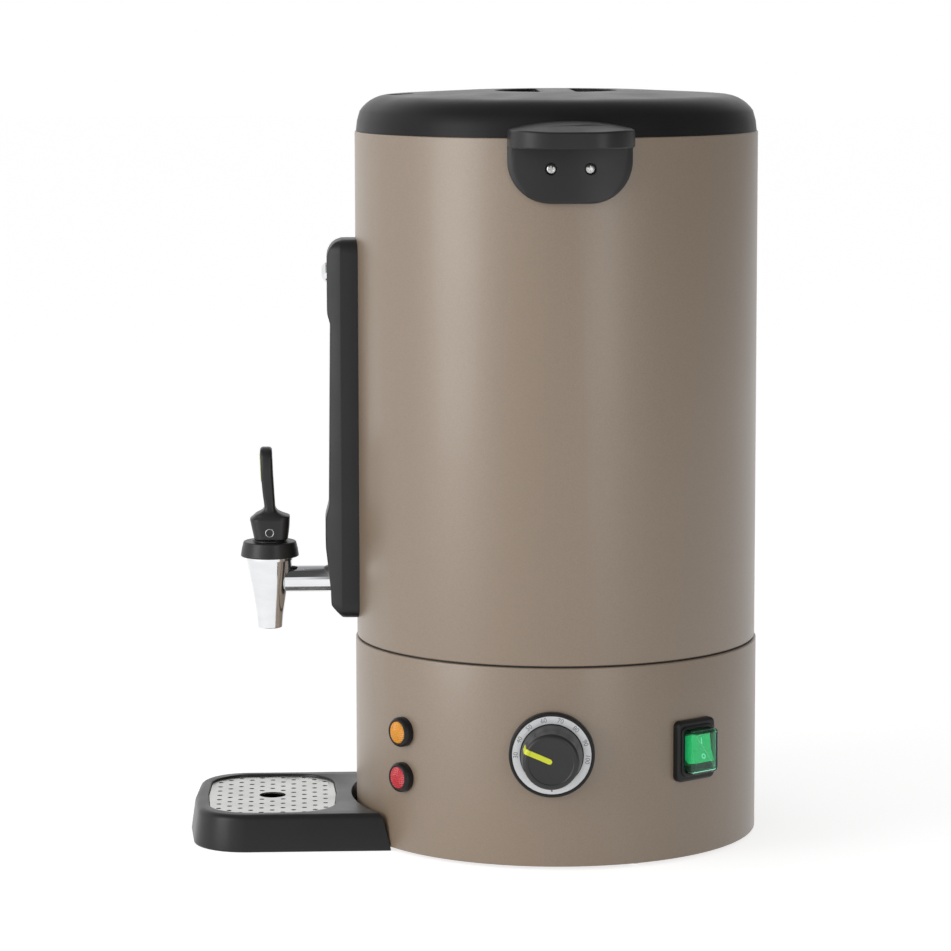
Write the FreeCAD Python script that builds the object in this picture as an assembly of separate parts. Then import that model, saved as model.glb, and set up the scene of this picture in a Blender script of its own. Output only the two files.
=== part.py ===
import FreeCAD, Part
import math
import os

V = FreeCAD.Vector

# A hot water urn of about 18 litres. All sizes are in millimetres.
# The origin is on the urn's axis at table level, +Z is up, and the tap points along -Y.
# An azimuth is counted from the tap side towards +X, in degrees.

# Fits and gaps
running_fit = 0.05
slip_gap = 0.3
seat_gap = 0.2
hole_gap = 0.2

# Body, tank and rim
body_radius = 135.0
body_height = 340.7
sheet = 1.0
jacket_gap = 4.7
rim_flange = 4.9
foot_flange = 13.0
tank_lift = 5.7
tank_corner = 14.0

# Base, its floor and its foot
base_step = 1.0
base_height = 131.0
base_lift = 2.3
base_sheet = 1.2
seam_gap = 1.0
floor_flange = 11.0
floor_rise = 5.0
floor_step_inset = 6.0
air_slots = 12
air_slot_width = 3.0
air_slot_length = 26.0
foot_inset = 16.0
foot_width = 10.0
foot_round = 1.0

# Screws, bolts and nuts
seam_screw_radius = 3.6
seam_screw_head = 2.4
seam_screw_end = 2.5
floor_screw_radius = 3.2
floor_screw_head = 1.4
floor_screw_length = 8.0
lid_screw_radius = 3.4
lid_screw_head = 1.8
lid_screw_length = 9.0
handle_bolt_radius = 2.0
handle_bolt_head = 3.6
handle_bolt_head_height = 1.8
gauge_bolt_radius = 3.0
wall_nut_height = 3.1
thread_fit = 0.02

# Lid
lid_height = 27.0
lid_step = 0.8
lid_wall = 2.4
crown_drop = 3.0
shoulder_width = 22.2
crown_flat = 20.0
liner_depth = 11.0
liner_gap = 1.0
well_radius = 41.0
well_depth = 23.0
grip_width = 22.0
well_floor_round = 5.0
lid_boss_inset = 35.0
lid_boss_radius = 5.0
vent_inset = 31.0
vent_radius = 9.0
vent_dish = 0.8
vent_slot_width = 2.0
vent_slots = 3
lid_seal_height = 2.2

# Side handles
handle_width = 80.1
handle_rise = 11.0
handle_drop = 41.4
handle_reach = 40.0
handle_plate = 4.5
handle_skin = 4.0
handle_lip_drop = 5.3
handle_corner = 27.0
handle_front_corner = 27.0
handle_front_bow = 0.6
handle_screw_spread = 12.2
handle_screw_drop = 19.4
handle_recess = 2.2
handle_shoulder = 6.0

# Level gauge on the tap side
gauge_width = 38.0
gauge_foot = 13.0
gauge_head_margin = 71.7
gauge_depth = 21.2
gauge_chin_depth = 17.8
gauge_spine_depth = 18.8
gauge_waist_depth = 17.3
gauge_brow_depth = 19.3
gauge_chin_rise = 17.0
gauge_belly_rise = 48.0
gauge_belly_end = 68.0
gauge_spine_rise = 77.0
gauge_waist_drop = 57.0
gauge_brow_drop = 50.0
gauge_wall = 2.5
gauge_corner = 9.0
gauge_bevel_depth = 10.5
gauge_bevel_width = 6.5
gauge_window_width = 9.0
gauge_window_rise = 81.0
gauge_window_drop = 61.5
gauge_tube_radius = 5.0
gauge_tube_wall = 1.2
gauge_tube_offset = 7.5
gauge_collar = 2.4
gauge_screw_radius = 6.75
gauge_screw_drop = 22.7
gauge_screw_sink = 3.0
gauge_screw_head = 4.5
gauge_socket_depth = 9.0
gauge_seal_height = 3.0
gauge_air_radius = 1.2

# Tap
tap_reach = 59.0
tap_rise = 38.3
pipe_radius = 9.1
pipe_bore = 5.5
shank_radius = 8.0
cone_mouth_radius = 8.3
cone_waist_radius = 11.35
cone_top_radius = 15.8
cone_drop = 33.2
cone_rise = 15.7
spout_bore = 4.8
valve_room_radius = 7.2
valve_room_drop = 10.6
neck_radius = 13.0
neck_height = 6.5
bonnet_radius = 19.6
bonnet_height = 10.3
stem_radius = 2.6
lever_pin_radius = 1.5
lever_pin_rise = 6.8
lever_width = 24.0
hood_height = 16.6
blade_height = 45.6
lever_gap = 1.8
lever_pad_corner = 5.0
lever_pad_proud = 0.35
bonnet_sheet = 3.5
bonnet_collar_radius = 11.5
bonnet_collar_height = 1.0
tap_nut_height = 6.5
tap_washer_width = 5.0
tap_washer_height = 3.2
shank_tail = 9.0

# Drip tray and its grille
tray_reach = 113.4
tray_width = 149.0
tray_height = 24.6
tray_corner = 36.0
tray_wall = 2.5
tray_edge_round = 4.0
tray_bow = 2.4
tray_gap = 0.4
tray_draft = 3.5
notch_depth = 3.4
notch_radius = 70.0
grille_length = 86.8
grille_width = 123.0
grille_corner = 30.0
grille_setback = 14.2
grille_sheet = 1.2
grille_sink = 1.4
grille_bow = 1.2
basin_inset = 4.5
basin_lift = 0.6
tray_foot_round = 1.5
perforation_radius = 1.75
perforation_columns = 11
perforation_column_step = 7.2
perforation_row_step = 13.8
perforation_margin = 4.5
finger_hole_radius = 9.0

# Thermostat dial
dial_azimuth = 85.1
dial_height = 77.2
dial_radius = 27.9
dial_depth = 5.2
dial_rim = 2.1
dial_floor_drop = 1.4
scale_inner_radius = 20.7
scale_sheet = 1.0
knob_radius = 20.2
knob_face_radius = 17.3
knob_height = 24.0
pointer_width = 3.4
pointer_angle = 156.6
pointer_depth = 0.7
pointer_proud = 0.4
shaft_radius = 3.0
shaft_reach = 14.0
shaft_sink = 7.5
bush_radius = 5.0
nut_radius = 7.5
thermostat_width = 38.0
thermostat_height = 30.0
thermostat_depth = 26.0
thermostat_setback = 5.0
thermostat_cover = 4.0
thermostat_corner = 3.0

# Blade terminals of the controls
tab_width = 6.3
tab_sheet = 0.8
tab_length = 8.0
tab_spread = 8.0

# Switch
switch_azimuth = 127.6
switch_height = 73.9
switch_frame_width = 33.0
switch_frame_height = 40.4
switch_frame_depth = 5.5
switch_boot_width = 23.5
switch_boot_height = 29.0
switch_boot_depth = 13.0
switch_boot_wall = 1.2
rocker_width = 16.4
rocker_height = 18.4
rocker_tilt = 12.0
rocker_tip = 9.5
rocker_middle = 8.5
rocker_edge = 4.0
rocker_root = 1.5
rocker_root_width = 9.0
rocker_pin_radius = 1.2
rocker_pin_end = 1.7
switch_body_width = 26.0
switch_body_height = 32.0
switch_body_depth = 24.0
switch_pit_depth = 8.0
switch_tab_spread = 10.0
panel_sink = 4.0

# Lamps
lamp_azimuth = 38.5
amber_lamp_height = 83.0
red_lamp_height = 52.6
lamp_radius = 9.9
lamp_depth = 6.0
lens_radius = 7.25
lens_rise = 2.1
lamp_body_radius = 6.0
lamp_body_depth = 26.0
lamp_tab_width = 4.8
lamp_tab_spread = 3.0

# Cable gland at the back left
gland_azimuth = 225.0
gland_height = 30.0
gland_radius = 11.0
gland_thread_radius = 7.8
cable_bore = 3.6
gland_length = 17.0
gland_inner_length = 12.0
gland_flange = 4.0
gland_cap_height = 9.0
gland_nut_height = 4.6
terminal_inset = 40.0
terminal_width = 34.0
terminal_depth = 14.0
terminal_height = 8.0
terminal_spacing = 10.5
terminal_tower_radius = 4.2
terminal_tower_height = 6.0
terminal_well_radius = 2.2

# Heater parts under the tank
heater_inset = 43.0
heater_sheet = 3.8
element_inset = 22.0
element_section = 8.0
element_leg = 26.0
element_angle = 320.0
cutout_radius = 8.0
cutout_flange = 4.0
cutout_height = 9.0
cutout_tab_spread = 3.5
bulb_radius = 3.0
bulb_length = 60.0
bulb_offset = 32.0
capillary_radius = 0.8
capillary_bend = 4.0
capillary_run = 17.0
capillary_drop = 16.0

# Heights and radii that follow from the sizes above
base_radius = body_radius + base_step
base_top = base_lift + base_height
body_bottom = base_top + seam_gap
rim = body_bottom + body_height
lid_top = rim + lid_height
body_inner = body_radius - sheet
tank_outer = body_inner - jacket_gap
tank_inner = tank_outer - sheet
tank_bottom = body_bottom + tank_lift
rim_hole = body_radius - sheet - rim_flange - 0.3
seam_hole = body_radius - foot_flange
seam_screw_circle = body_radius - foot_flange / 2 - 1.5
base_inner = base_radius - base_sheet
floor_bottom = base_lift + base_sheet
floor_hole = base_inner - floor_flange
floor_screw_circle = base_inner - floor_flange / 2
foot_radius = base_radius - foot_inset
foot_inner = foot_radius - foot_width
lid_boss_circle = body_radius - lid_boss_inset
vent_circle = body_radius - vent_inset
lid_seal_outer = body_radius - lid_step - lid_wall - 0.6
lid_seal_top = rim + seat_gap + lid_seal_height
tap_axis = body_radius + tap_reach
tap_height = body_bottom + tap_rise
cone_top = tap_height + cone_rise
cone_bottom = tap_height - cone_drop
bonnet_top = cone_top + bonnet_height
pin_height = bonnet_top + lever_pin_rise
gauge_bottom = body_bottom + gauge_foot
gauge_top = rim - gauge_head_margin
gauge_screw_height = gauge_top - gauge_screw_drop
gauge_screw_seat = body_radius + gauge_depth - gauge_screw_sink
window_low = gauge_bottom + gauge_window_rise
window_high = gauge_top - gauge_window_drop
gauge_tube_low = tap_height + 15.0
gauge_tube_high = gauge_screw_height - 14.0
gauge_seal_radius = gauge_tube_radius + 1.7
gauge_tee_front = body_radius + gauge_tube_offset + gauge_tube_radius + gauge_collar + seat_gap
tank_washer_inner = tank_inner - tap_washer_height
shank_end = tank_washer_inner - shank_tail
dial_floor = base_radius + dial_depth - dial_floor_drop
knob_back = base_radius + dial_depth - scale_sheet
shaft_tip = base_radius + dial_depth + shaft_reach
heater_radius = body_radius - heater_inset
element_circle = heater_radius - element_inset
handle_azimuths = (90.0, 270.0)


def placed(shape, x, y, z):
    moved = shape.copy()
    moved.translate(V(x, y, z))
    return moved


def turned_to(shape, azimuth):
    """Carry a piece drawn on the tap side round to another azimuth."""
    moved = shape.copy()
    moved.rotate(V(0, 0, 0), V(0, 0, 1), azimuth)
    return moved


def outward(shape, azimuth, height):
    """Face a piece drawn along +Z, measured from the urn's axis, outwards at an azimuth."""
    moved = shape.copy()
    moved.rotate(V(0, 0, 0), V(1, 0, 0), 90)
    moved.translate(V(0, 0, height))
    return turned_to(moved, azimuth)


def rod(radius, low, high):
    return Part.makeCylinder(radius, high - low, V(0, 0, low))


def tube(outer, inner, low, high):
    return rod(outer, low, high).cut(rod(inner, low - 1, high + 1))


def block(width, depth, low, high):
    return Part.makeBox(width, depth, high - low, V(-width / 2, -depth / 2, low))


def on_turning_plane(radius, height):
    return V(radius, 0, height)


def on_side_plane(reach, height):
    return V(0, -reach, height)


def on_front_plane(across, height):
    return V(across, 0, height)


def on_plan(across, reach):
    return V(across, -reach, 0)


def outline(plane, start, *steps):
    """A closed wire. A step is a point, or a pair of points for an arc through one to the other."""
    edges = []
    here = plane(*start)
    for step in steps + (start,):
        if isinstance(step[0], tuple):
            end = plane(*step[1])
            edges.append(Part.Arc(here, plane(*step[0]), end).toShape())
        else:
            end = plane(*step)
            if here.distanceToPoint(end) > 1e-6:
                edges.append(Part.LineSegment(here, end).toShape())
        here = end
    return Part.Wire(edges)


def turned(start, *steps):
    """A solid of revolution about Z from an outline of radius and height."""
    face = Part.Face(outline(on_turning_plane, start, *steps))
    return face.revolve(V(0, 0, 0), V(0, 0, 1), 360)


def across_both_ways(wire, width):
    """Extrude an outline of the side view by half the width to each side."""
    face = Part.Face(wire)
    face.translate(V(-width / 2, 0, 0))
    return face.extrude(V(width, 0, 0))


def upright(wire, low, high):
    """Extrude a plan outline from one height to another."""
    face = Part.Face(wire)
    face.translate(V(0, 0, low))
    return face.extrude(V(0, 0, high - low))


def rounded_plan(width, depth, corner):
    """A rectangle with round corners, centred on the origin of the plan."""
    x = width / 2
    y = depth / 2
    c = corner
    k = corner * (1 - math.sqrt(0.5))
    return outline(on_plan, (c - x, -y), (x - c, -y), ((x - k, k - y), (x, c - y)), (x, y - c),
                   ((x - k, y - k), (x - c, y)), (c - x, y), ((k - x, y - k), (-x, y - c)),
                   (-x, c - y), ((k - x, k - y), (c - x, -y)))


def rounded_block(width, depth, corner, low, high):
    return upright(rounded_plan(width, depth, corner), low, high)


def quarter_turns(count, start=45.0):
    return [start + 360.0 * index / count for index in range(count)]


def around_axis(shape, azimuths):
    return Part.makeCompound([turned_to(shape, azimuth) for azimuth in azimuths])


def round_head_screw(head_radius, head_height, shank_radius, shank_length):
    """A screw along +Z with the underside of its head at zero."""
    head = turned((0, 0), (head_radius, 0), (head_radius, head_height * 0.45),
                  ((head_radius * 0.8, head_height * 0.85), (head_radius * 0.3, head_height)), (0, head_height))
    return head.fuse(rod(shank_radius, -shank_length, 0.1))


def hexagon_nut(radius, bore, low, high):
    corners = [(radius * math.cos(math.radians(60 * i)), radius * math.sin(math.radians(60 * i)))
               for i in range(6)]
    prism = upright(outline(on_plan, *corners), low, high)
    return prism.cut(rod(bore, low - 1, high + 1))


# Body, tank and rim

def seam_screw_holes(low, high):
    hole = placed(rod(seam_screw_radius / 2 + hole_gap, low, high), 0, -seam_screw_circle, 0)
    return around_axis(hole, quarter_turns(4))


def handle_screw_azimuths():
    turn = math.degrees(math.asin(handle_screw_spread / body_radius))
    return [side + way * turn for side in handle_azimuths for way in (-1, 1)]


def body_shell():
    shell = turned((seam_hole, body_bottom), (body_radius, body_bottom), (body_radius, rim),
                   (rim_hole, rim), (rim_hole, rim - sheet), (body_inner, rim - sheet),
                   (body_inner, body_bottom + sheet), (seam_hole, body_bottom + sheet))
    reach = (body_radius - 5, body_radius + 5)
    holes = [outward(rod(shank_radius + hole_gap, *reach), 0, tap_height)]
    holes.append(outward(rod(gauge_bolt_radius + hole_gap, *reach), 0, gauge_screw_height))
    for azimuth in handle_screw_azimuths():
        holes.append(outward(rod(handle_bolt_radius + hole_gap, *reach), azimuth, rim - handle_screw_drop))
    holes.append(seam_screw_holes(body_bottom - 1, body_bottom + sheet + 1))
    return shell.cut(holes)


def tank():
    flange = body_inner - 0.3
    inner_corner = tank_corner - sheet
    bend = 1 - math.sqrt(0.5)
    low = tank_bottom
    pan = turned((0, low), (tank_outer - tank_corner, low),
                 ((tank_outer - tank_corner * bend, low + tank_corner * bend), (tank_outer, low + tank_corner)),
                 (tank_outer, rim - 2 * sheet), (flange, rim - 2 * sheet), (flange, rim - sheet),
                 (tank_inner, rim - sheet), (tank_inner, low + tank_corner),
                 ((tank_inner - inner_corner * bend, low + sheet + inner_corner * bend),
                  (tank_inner - inner_corner, low + sheet)), (0, low + sheet))
    return pan.cut(outward(rod(shank_radius + hole_gap, tank_inner - 9, tank_outer + 5), 0, tap_height))


# Base

def base_shell():
    shell = turned((floor_hole, base_lift), (base_radius, base_lift), (base_radius, base_top),
                   (seam_hole, base_top), (seam_hole, base_top - base_sheet), (base_inner, base_top - base_sheet),
                   (base_inner, floor_bottom), (floor_hole, floor_bottom))
    reach = (base_radius - 12, base_radius + 8)
    holes = [outward(rod(bush_radius + hole_gap, *reach), dial_azimuth, dial_height)]
    holes.append(outward(rod(gland_thread_radius + hole_gap, *reach), gland_azimuth, gland_height))
    for height in (amber_lamp_height, red_lamp_height):
        holes.append(outward(rod(lamp_body_radius + hole_gap, *reach), lamp_azimuth, height))
    cutout = block(switch_body_width + 2 * hole_gap, switch_body_height + 2 * hole_gap, *reach)
    holes.append(outward(cutout, switch_azimuth, switch_height))
    holes.append(seam_screw_holes(base_top - base_sheet - 1, base_top + 1))
    holes.append(floor_screw_holes(base_lift - 1, floor_bottom + 1))
    return shell.cut(holes)


def floor_screw_holes(low, high):
    hole = placed(rod(floor_screw_radius / 2 + hole_gap, low, high), 0, -floor_screw_circle, 0)
    return around_axis(hole, quarter_turns(4, 20.0))


def bottom_plate():
    """A pressed floor with a stiffening step and a ring of air slots."""
    edge = base_inner - slip_gap
    step = foot_inner - floor_step_inset
    low = floor_bottom
    high = floor_bottom + floor_rise
    bend = base_sheet * 0.4
    plate = turned((0, high), (step - floor_rise, high), (step, low), (edge, low), (edge, low + base_sheet),
                   (step + bend, low + base_sheet), (step - floor_rise + bend, high + base_sheet),
                   (0, high + base_sheet))
    slot = placed(block(air_slot_width, air_slot_length, low, high + 3), 0, -step * 0.62, 0)
    slots = around_axis(slot, quarter_turns(air_slots, 0.0))
    return plate.cut([slots, floor_screw_holes(low - 1, low + base_sheet + 1)])


def foot_ring():
    inner = foot_inner
    r = foot_round
    k = r * (1 - math.sqrt(0.5))
    return turned((inner + r, 0), (foot_radius - r, 0), ((foot_radius - k, k), (foot_radius, r)),
                  (foot_radius, floor_bottom), (inner, floor_bottom), (inner, r), ((inner + k, k), (inner + r, 0)))


def base_screws():
    screw = round_head_screw(floor_screw_radius, floor_screw_head, floor_screw_radius / 2, floor_screw_length)
    screw.rotate(V(0, 0, 0), V(1, 0, 0), 180)
    return around_axis(placed(screw, 0, -floor_screw_circle, base_lift), quarter_turns(4, 20.0))


def seam_gasket():
    ring = tube(body_radius - 0.7, seam_hole + 0.5, base_top, body_bottom)
    return ring.cut(seam_screw_holes(base_top - 1, body_bottom + 1))


def seam_screws():
    length = base_sheet + seam_gap + sheet + seam_screw_end
    screw = round_head_screw(seam_screw_radius, seam_screw_head, seam_screw_radius / 2, length)
    screw.rotate(V(0, 0, 0), V(1, 0, 0), 180)
    return around_axis(placed(screw, 0, -seam_screw_circle, base_top - base_sheet), quarter_turns(4))


# Lid

def lid_dome(inset, low):
    """The lid's outside, or with an inset the hollow under it, as one turned solid."""
    edge = body_radius - lid_step - inset
    top = lid_top - inset
    return turned((0, low), (edge, low), ((edge - 0.9, rim + 7.4), (edge - 2.6, top - crown_drop - 10.7)),
                  ((edge - 8.7, top - crown_drop - 4.4), (edge - shoulder_width, top - crown_drop)),
                  ((edge / 2, top - crown_drop / 4), (crown_flat, top)), (0, top))


def lid_boss_places(shape):
    return around_axis(placed(shape, 0, -lid_boss_circle, 0), quarter_turns(4))


def lid_shell():
    """A moulded dome with a round grip well, a bar across it, a steam vent and four screw bosses."""
    low = rim + slip_gap
    floor = lid_top - well_depth
    well = rod(well_radius, floor, lid_top + 5)
    grip = block(2 * well_radius + 2, grip_width, floor - 1, lid_top + 5)
    pockets = well.cut(grip)
    rims = [edge for edge in pockets.Edges if abs(edge.BoundBox.ZMax - floor) < 0.01
            and abs(edge.BoundBox.ZMin - floor) < 0.01]
    pockets = pockets.makeFillet(well_floor_round, rims)
    well_cup = rod(well_radius + lid_wall, floor - lid_wall, lid_top + 5)
    bosses = lid_boss_places(rod(lid_boss_radius, rim - liner_depth, lid_top))
    hollow = lid_dome(lid_wall, rim - 5).cut([well_cup, bosses])
    shell = lid_dome(0, low).cut([hollow, pockets])
    below = lid_boss_places(rod(lid_boss_radius, rim - liner_depth, lid_top - 12))
    shell = shell.fuse([solid for solid in below.Solids])
    pilot = lid_boss_places(rod(lid_screw_radius / 2 + thread_fit, rim - liner_depth - 1, rim + 2))
    vent = placed(rod(vent_radius, lid_top - crown_drop - vent_dish, lid_top + 1), 0, -vent_circle, 0)
    slots = []
    for index in range(vent_slots):
        across = (index - (vent_slots - 1) / 2) * vent_radius * 0.55
        slots.append(placed(block(vent_slot_width, vent_radius * 1.3, rim + 10, lid_top), across, -vent_circle, 0))
    return shell.cut([pilot, vent] + slots)


def lid_liner():
    """The steel pan under the lid, which centres it in the tank."""
    wall = tank_inner - liner_gap
    flange = lid_seal_outer
    seat = lid_seal_top
    floor = rim - liner_depth
    pan = turned((0, floor - sheet), (wall - 3, floor - sheet),
                 ((wall - 0.9, floor + 0.9 - sheet), (wall, floor + 2)), (wall, seat), (flange, seat),
                 (flange, seat + sheet), (wall - sheet, seat + sheet), (wall - sheet, floor + 2),
                 (wall - 3, floor), (0, floor))
    holes = lid_boss_places(rod(lid_screw_radius / 2 + hole_gap, floor - 2, floor + 1))
    vent = placed(rod(vent_radius / 2, floor - 2, floor + 1), 0, -vent_circle, 0)
    return pan.cut([holes, vent])


def lid_seal():
    inner = rim_hole + 0.4
    outer = lid_seal_outer
    low = rim + seat_gap
    return turned((inner, low + 0.6), (inner + 0.8, low), (outer - 0.8, low), (outer, low + 0.6),
                  (outer, lid_seal_top), (inner, lid_seal_top))


def lid_screws():
    screw = round_head_screw(lid_screw_radius, lid_screw_head, lid_screw_radius / 2, lid_screw_length)
    screw.rotate(V(0, 0, 0), V(1, 0, 0), 180)
    return lid_boss_places(placed(screw, 0, 0, rim - liner_depth - sheet))


# Side handles

def side_handle():
    """A curved plate on the body with a hollow ledge over the fingers, drawn on the tap side."""
    inside = body_radius + running_fit
    front = body_radius + handle_reach
    half = handle_width / 2
    bottom = rim - handle_drop
    lip = rim - handle_lip_drop
    back = body_radius - 10
    k = handle_corner * (1 - math.sqrt(0.5))
    face = outline(on_front_plane, (handle_corner - half, bottom), (half - handle_corner, bottom),
                   ((half - k, bottom + k), (half, bottom + handle_corner)), (half, lip + 1), (-half, lip + 1),
                   (-half, bottom + handle_corner), ((k - half, bottom + k), (handle_corner - half, bottom)))
    plate = Part.Face(face).extrude(V(0, -front, 0))
    plate = plate.common(tube(inside + handle_plate, inside, bottom - 1, lip + 2))
    side = outline(on_side_plane, (back, lip), (front - 1, lip), ((front - 0.3, lip + 0.3), (front, lip + 1)),
                   (front, rim + 4.2), ((front - 0.4, rim + 5.0), (front - 1.4, rim + 5.4)),
                   ((body_radius + handle_reach * 0.45, rim + handle_rise - 1.6), (back, rim + handle_rise + 0.4)))
    ledge = across_both_ways(side, handle_width).cut(rod(inside, lip - 1, lid_top))
    ledge = ledge.common(ledge_plan(0, back, front, lip - 1)).common(ledge_crown(0, front, lip - 1))
    inner_front = front - handle_skin
    hollow = outline(on_side_plane, (back, lip - 1), (inner_front, lip - 1), (inner_front, rim + 0.5),
                     ((body_radius + handle_reach * 0.45, rim + handle_rise - 1.6 - handle_skin),
                      (back, rim + handle_rise - 1.5 - handle_skin)))
    hollow = across_both_ways(hollow, handle_width).cut(rod(inside + handle_plate, lip - 2, lid_top))
    hollow = hollow.common(ledge_plan(handle_skin, back, front, lip - 2))
    hollow = hollow.common(ledge_crown(handle_skin, front, lip - 2))
    handle = plate.fuse(ledge).cut(hollow)
    for azimuth in handle_screw_turns():
        seat = inside + handle_plate - handle_recess
        recess = rod(handle_bolt_head + hole_gap, seat, inside + handle_plate + 1)
        bolt = rod(handle_bolt_radius + hole_gap, body_radius - 5, inside + handle_plate)
        handle = handle.cut(outward(recess.fuse(bolt), azimuth, rim - handle_screw_drop))
    return handle.removeSplitter()


def ledge_plan(inset, back, front, low):
    half = handle_width / 2 - inset
    front = front - inset
    corner = handle_front_corner - inset / 2
    k = corner * (1 - math.sqrt(0.5))
    shoulder = front - handle_front_bow
    wire = outline(on_plan, (-half, back), (-half, front - corner),
                   ((k - half, front - k), (corner - half, shoulder)), ((0, front), (half - corner, shoulder)),
                   ((half - k, front - k), (half, front - corner)), (half, back))
    return upright(wire, low, lid_top)


def ledge_crown(inset, reach, low):
    """The ledge seen from the front: its top is arched from side to side."""
    half = handle_width / 2
    end = rim + handle_shoulder - inset
    arch = outline(on_front_plane, (-half, low), (half, low), (half, end),
                   ((0, rim + handle_rise + 0.4 - inset), (-half, end)))
    return Part.Face(arch).extrude(V(0, -reach - 1, 0))


def handle_screw_turns():
    turn = math.degrees(math.asin(handle_screw_spread / body_radius))
    return (-turn, turn)


def handle_screws():
    seat = body_radius + running_fit + handle_plate - handle_recess
    length = seat - body_radius + jacket_gap
    screw = round_head_screw(handle_bolt_head, handle_bolt_head_height, handle_bolt_radius, length)
    return at_handle_screws(placed(screw, 0, 0, seat))


def handle_nuts():
    high = body_inner - 0.1
    nut = hexagon_nut(handle_bolt_radius * 2, handle_bolt_radius + thread_fit, high - wall_nut_height, high)
    return at_handle_screws(nut)


def at_handle_screws(shape):
    height = rim - handle_screw_drop
    return Part.makeCompound([outward(shape, azimuth, height) for azimuth in handle_screw_azimuths()])


# Level gauge

def gauge_form(inset):
    """The gauge cover's outside, or with an inset the room inside it."""
    back = body_radius - 6
    low = gauge_bottom + inset
    top = gauge_top - inset
    r = body_radius - inset
    chin = r + gauge_chin_depth
    belly = r + gauge_depth
    brow = r + gauge_brow_depth
    side = outline(on_side_plane, (back, low), (chin - 8.0, low), (chin, low + 9.0), (chin, low + gauge_chin_rise),
                   ((chin + 1.8, low + gauge_belly_rise - 14), (belly, low + gauge_belly_rise)),
                   (belly, low + gauge_belly_end), (r + gauge_spine_depth, low + gauge_spine_rise),
                   (r + gauge_waist_depth, top - gauge_waist_drop), (brow, top - gauge_brow_drop),
                   (brow, top - 13.0), ((brow - 3.4, top - 3.8), (brow - 11.5, top)), (back, top))
    solid = across_both_ways(side, gauge_width)
    half = gauge_width / 2 - inset
    bevel = body_radius + gauge_bevel_depth
    tip = body_radius + gauge_depth + 4
    ridge = half - gauge_bevel_width - inset * 0.4
    section = upright(outline(on_plan, (-half, back), (-half, bevel), (-ridge, tip), (ridge, tip), (half, bevel),
                              (half, back)), low, top)
    corner = gauge_corner
    k = corner * (1 - math.sqrt(0.5))
    front = outline(on_front_plane, (corner - half, low), (half - corner, low),
                    ((half - k, low + k), (half, low + corner)),
                    (half, top - corner), ((half - k, top - k), (half - corner, top)), (corner - half, top),
                    ((k - half, top - k), (-half, top - corner)), (-half, low + corner),
                    ((k - half, low + k), (corner - half, low)))
    return solid.common(section).common(Part.Face(front).extrude(V(0, -tip - 10, 0)))


def gauge_housing():
    """The moulded cover of the level gauge: a chamfered spine with a window over the glass."""
    shell = gauge_form(0)
    room_top = gauge_screw_height - gauge_screw_radius - gauge_wall
    room = gauge_form(gauge_wall).common(block(4 * gauge_width, 4 * tap_axis, gauge_bottom, room_top))
    end_round = gauge_window_width * 0.499
    window = rounded_front(gauge_window_width, window_high - window_low, end_round, gauge_depth)
    window = placed(window, 0, -body_radius - gauge_tube_offset, (window_low + window_high) / 2)
    cuts = [rod(body_radius + running_fit, gauge_bottom - 1, gauge_top + 1), room, window]
    reach = (body_radius - 8, tap_axis)
    cuts.append(outward(rod(pipe_radius + hole_gap, *reach), 0, tap_height))
    cuts.append(outward(rod(gauge_bolt_radius + hole_gap, *reach), 0, gauge_screw_height))
    seat = rod(gauge_screw_radius + hole_gap, gauge_screw_seat, tap_axis)
    cuts.append(outward(seat, 0, gauge_screw_height))
    return shell.cut(cuts).removeSplitter()


def rounded_front(width, height, corner, depth):
    """A slot with round ends that runs outwards, centred on its own height."""
    solid = rounded_block(width, height, corner, 0, depth)
    solid.rotate(V(0, 0, 0), V(1, 0, 0), 90)
    return solid


def gauge_screw():
    """The plated plug screw at the head of the gauge, with a screwdriver slot."""
    seat = gauge_screw_seat
    top = seat + gauge_screw_head
    r = gauge_screw_radius
    head = turned((0, seat), (r, seat), (r, top - 2.6), ((r * 0.7, top - 0.8), (0, top)))
    head = head.cut(block(r * 0.2, 4 * r, top - 1.2, top + 1))
    bolt = rod(gauge_bolt_radius, body_inner - jacket_gap + 0.8, seat + 0.1)
    return outward(head.fuse(bolt), 0, gauge_screw_height)


def gauge_nut():
    high = body_inner - 0.2
    nut = hexagon_nut(gauge_bolt_radius * 1.8, gauge_bolt_radius + thread_fit, high - wall_nut_height, high)
    return outward(nut, 0, gauge_screw_height)


def gauge_tee():
    """The branch on the tap's shank that feeds the glass tube."""
    axis = body_radius + gauge_tube_offset
    low = body_radius + 1.0
    high = gauge_tee_front
    barrel = outward(rod(shank_radius + 4.0, low, high), 0, tap_height)
    collar = gauge_tube_radius + gauge_collar
    riser = placed(rod(collar, tap_height, gauge_tube_low + gauge_socket_depth), 0, -axis, 0)
    bore = outward(rod(shank_radius + running_fit, low - 1, high + 1), 0, tap_height)
    channel = placed(rod(gauge_tube_radius - gauge_tube_wall - 1, tap_height, gauge_tube_low), 0, -axis, 0)
    socket = placed(rod(gauge_tube_radius + running_fit, gauge_tube_low, gauge_tube_low + 10), 0, -axis, 0)
    seal_seat = placed(rod(gauge_seal_radius, gauge_tube_low + 4, gauge_tube_low + 10), 0, -axis, 0)
    return barrel.fuse(riser).cut([bore, channel, socket, seal_seat])


def gauge_tube():
    axis = body_radius + gauge_tube_offset
    glass = tube(gauge_tube_radius, gauge_tube_radius - gauge_tube_wall, gauge_tube_low, gauge_tube_high)
    return placed(glass, 0, -axis, 0)


def gauge_seals():
    axis = body_radius + gauge_tube_offset
    ring = tube(gauge_seal_radius - running_fit, gauge_tube_radius + running_fit, 0, gauge_seal_height)
    lower = placed(ring, 0, -axis, gauge_tube_low + 4.2)
    upper = placed(ring, 0, -axis, gauge_tube_high - 8.2)
    return Part.makeCompound([lower, upper])


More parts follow.
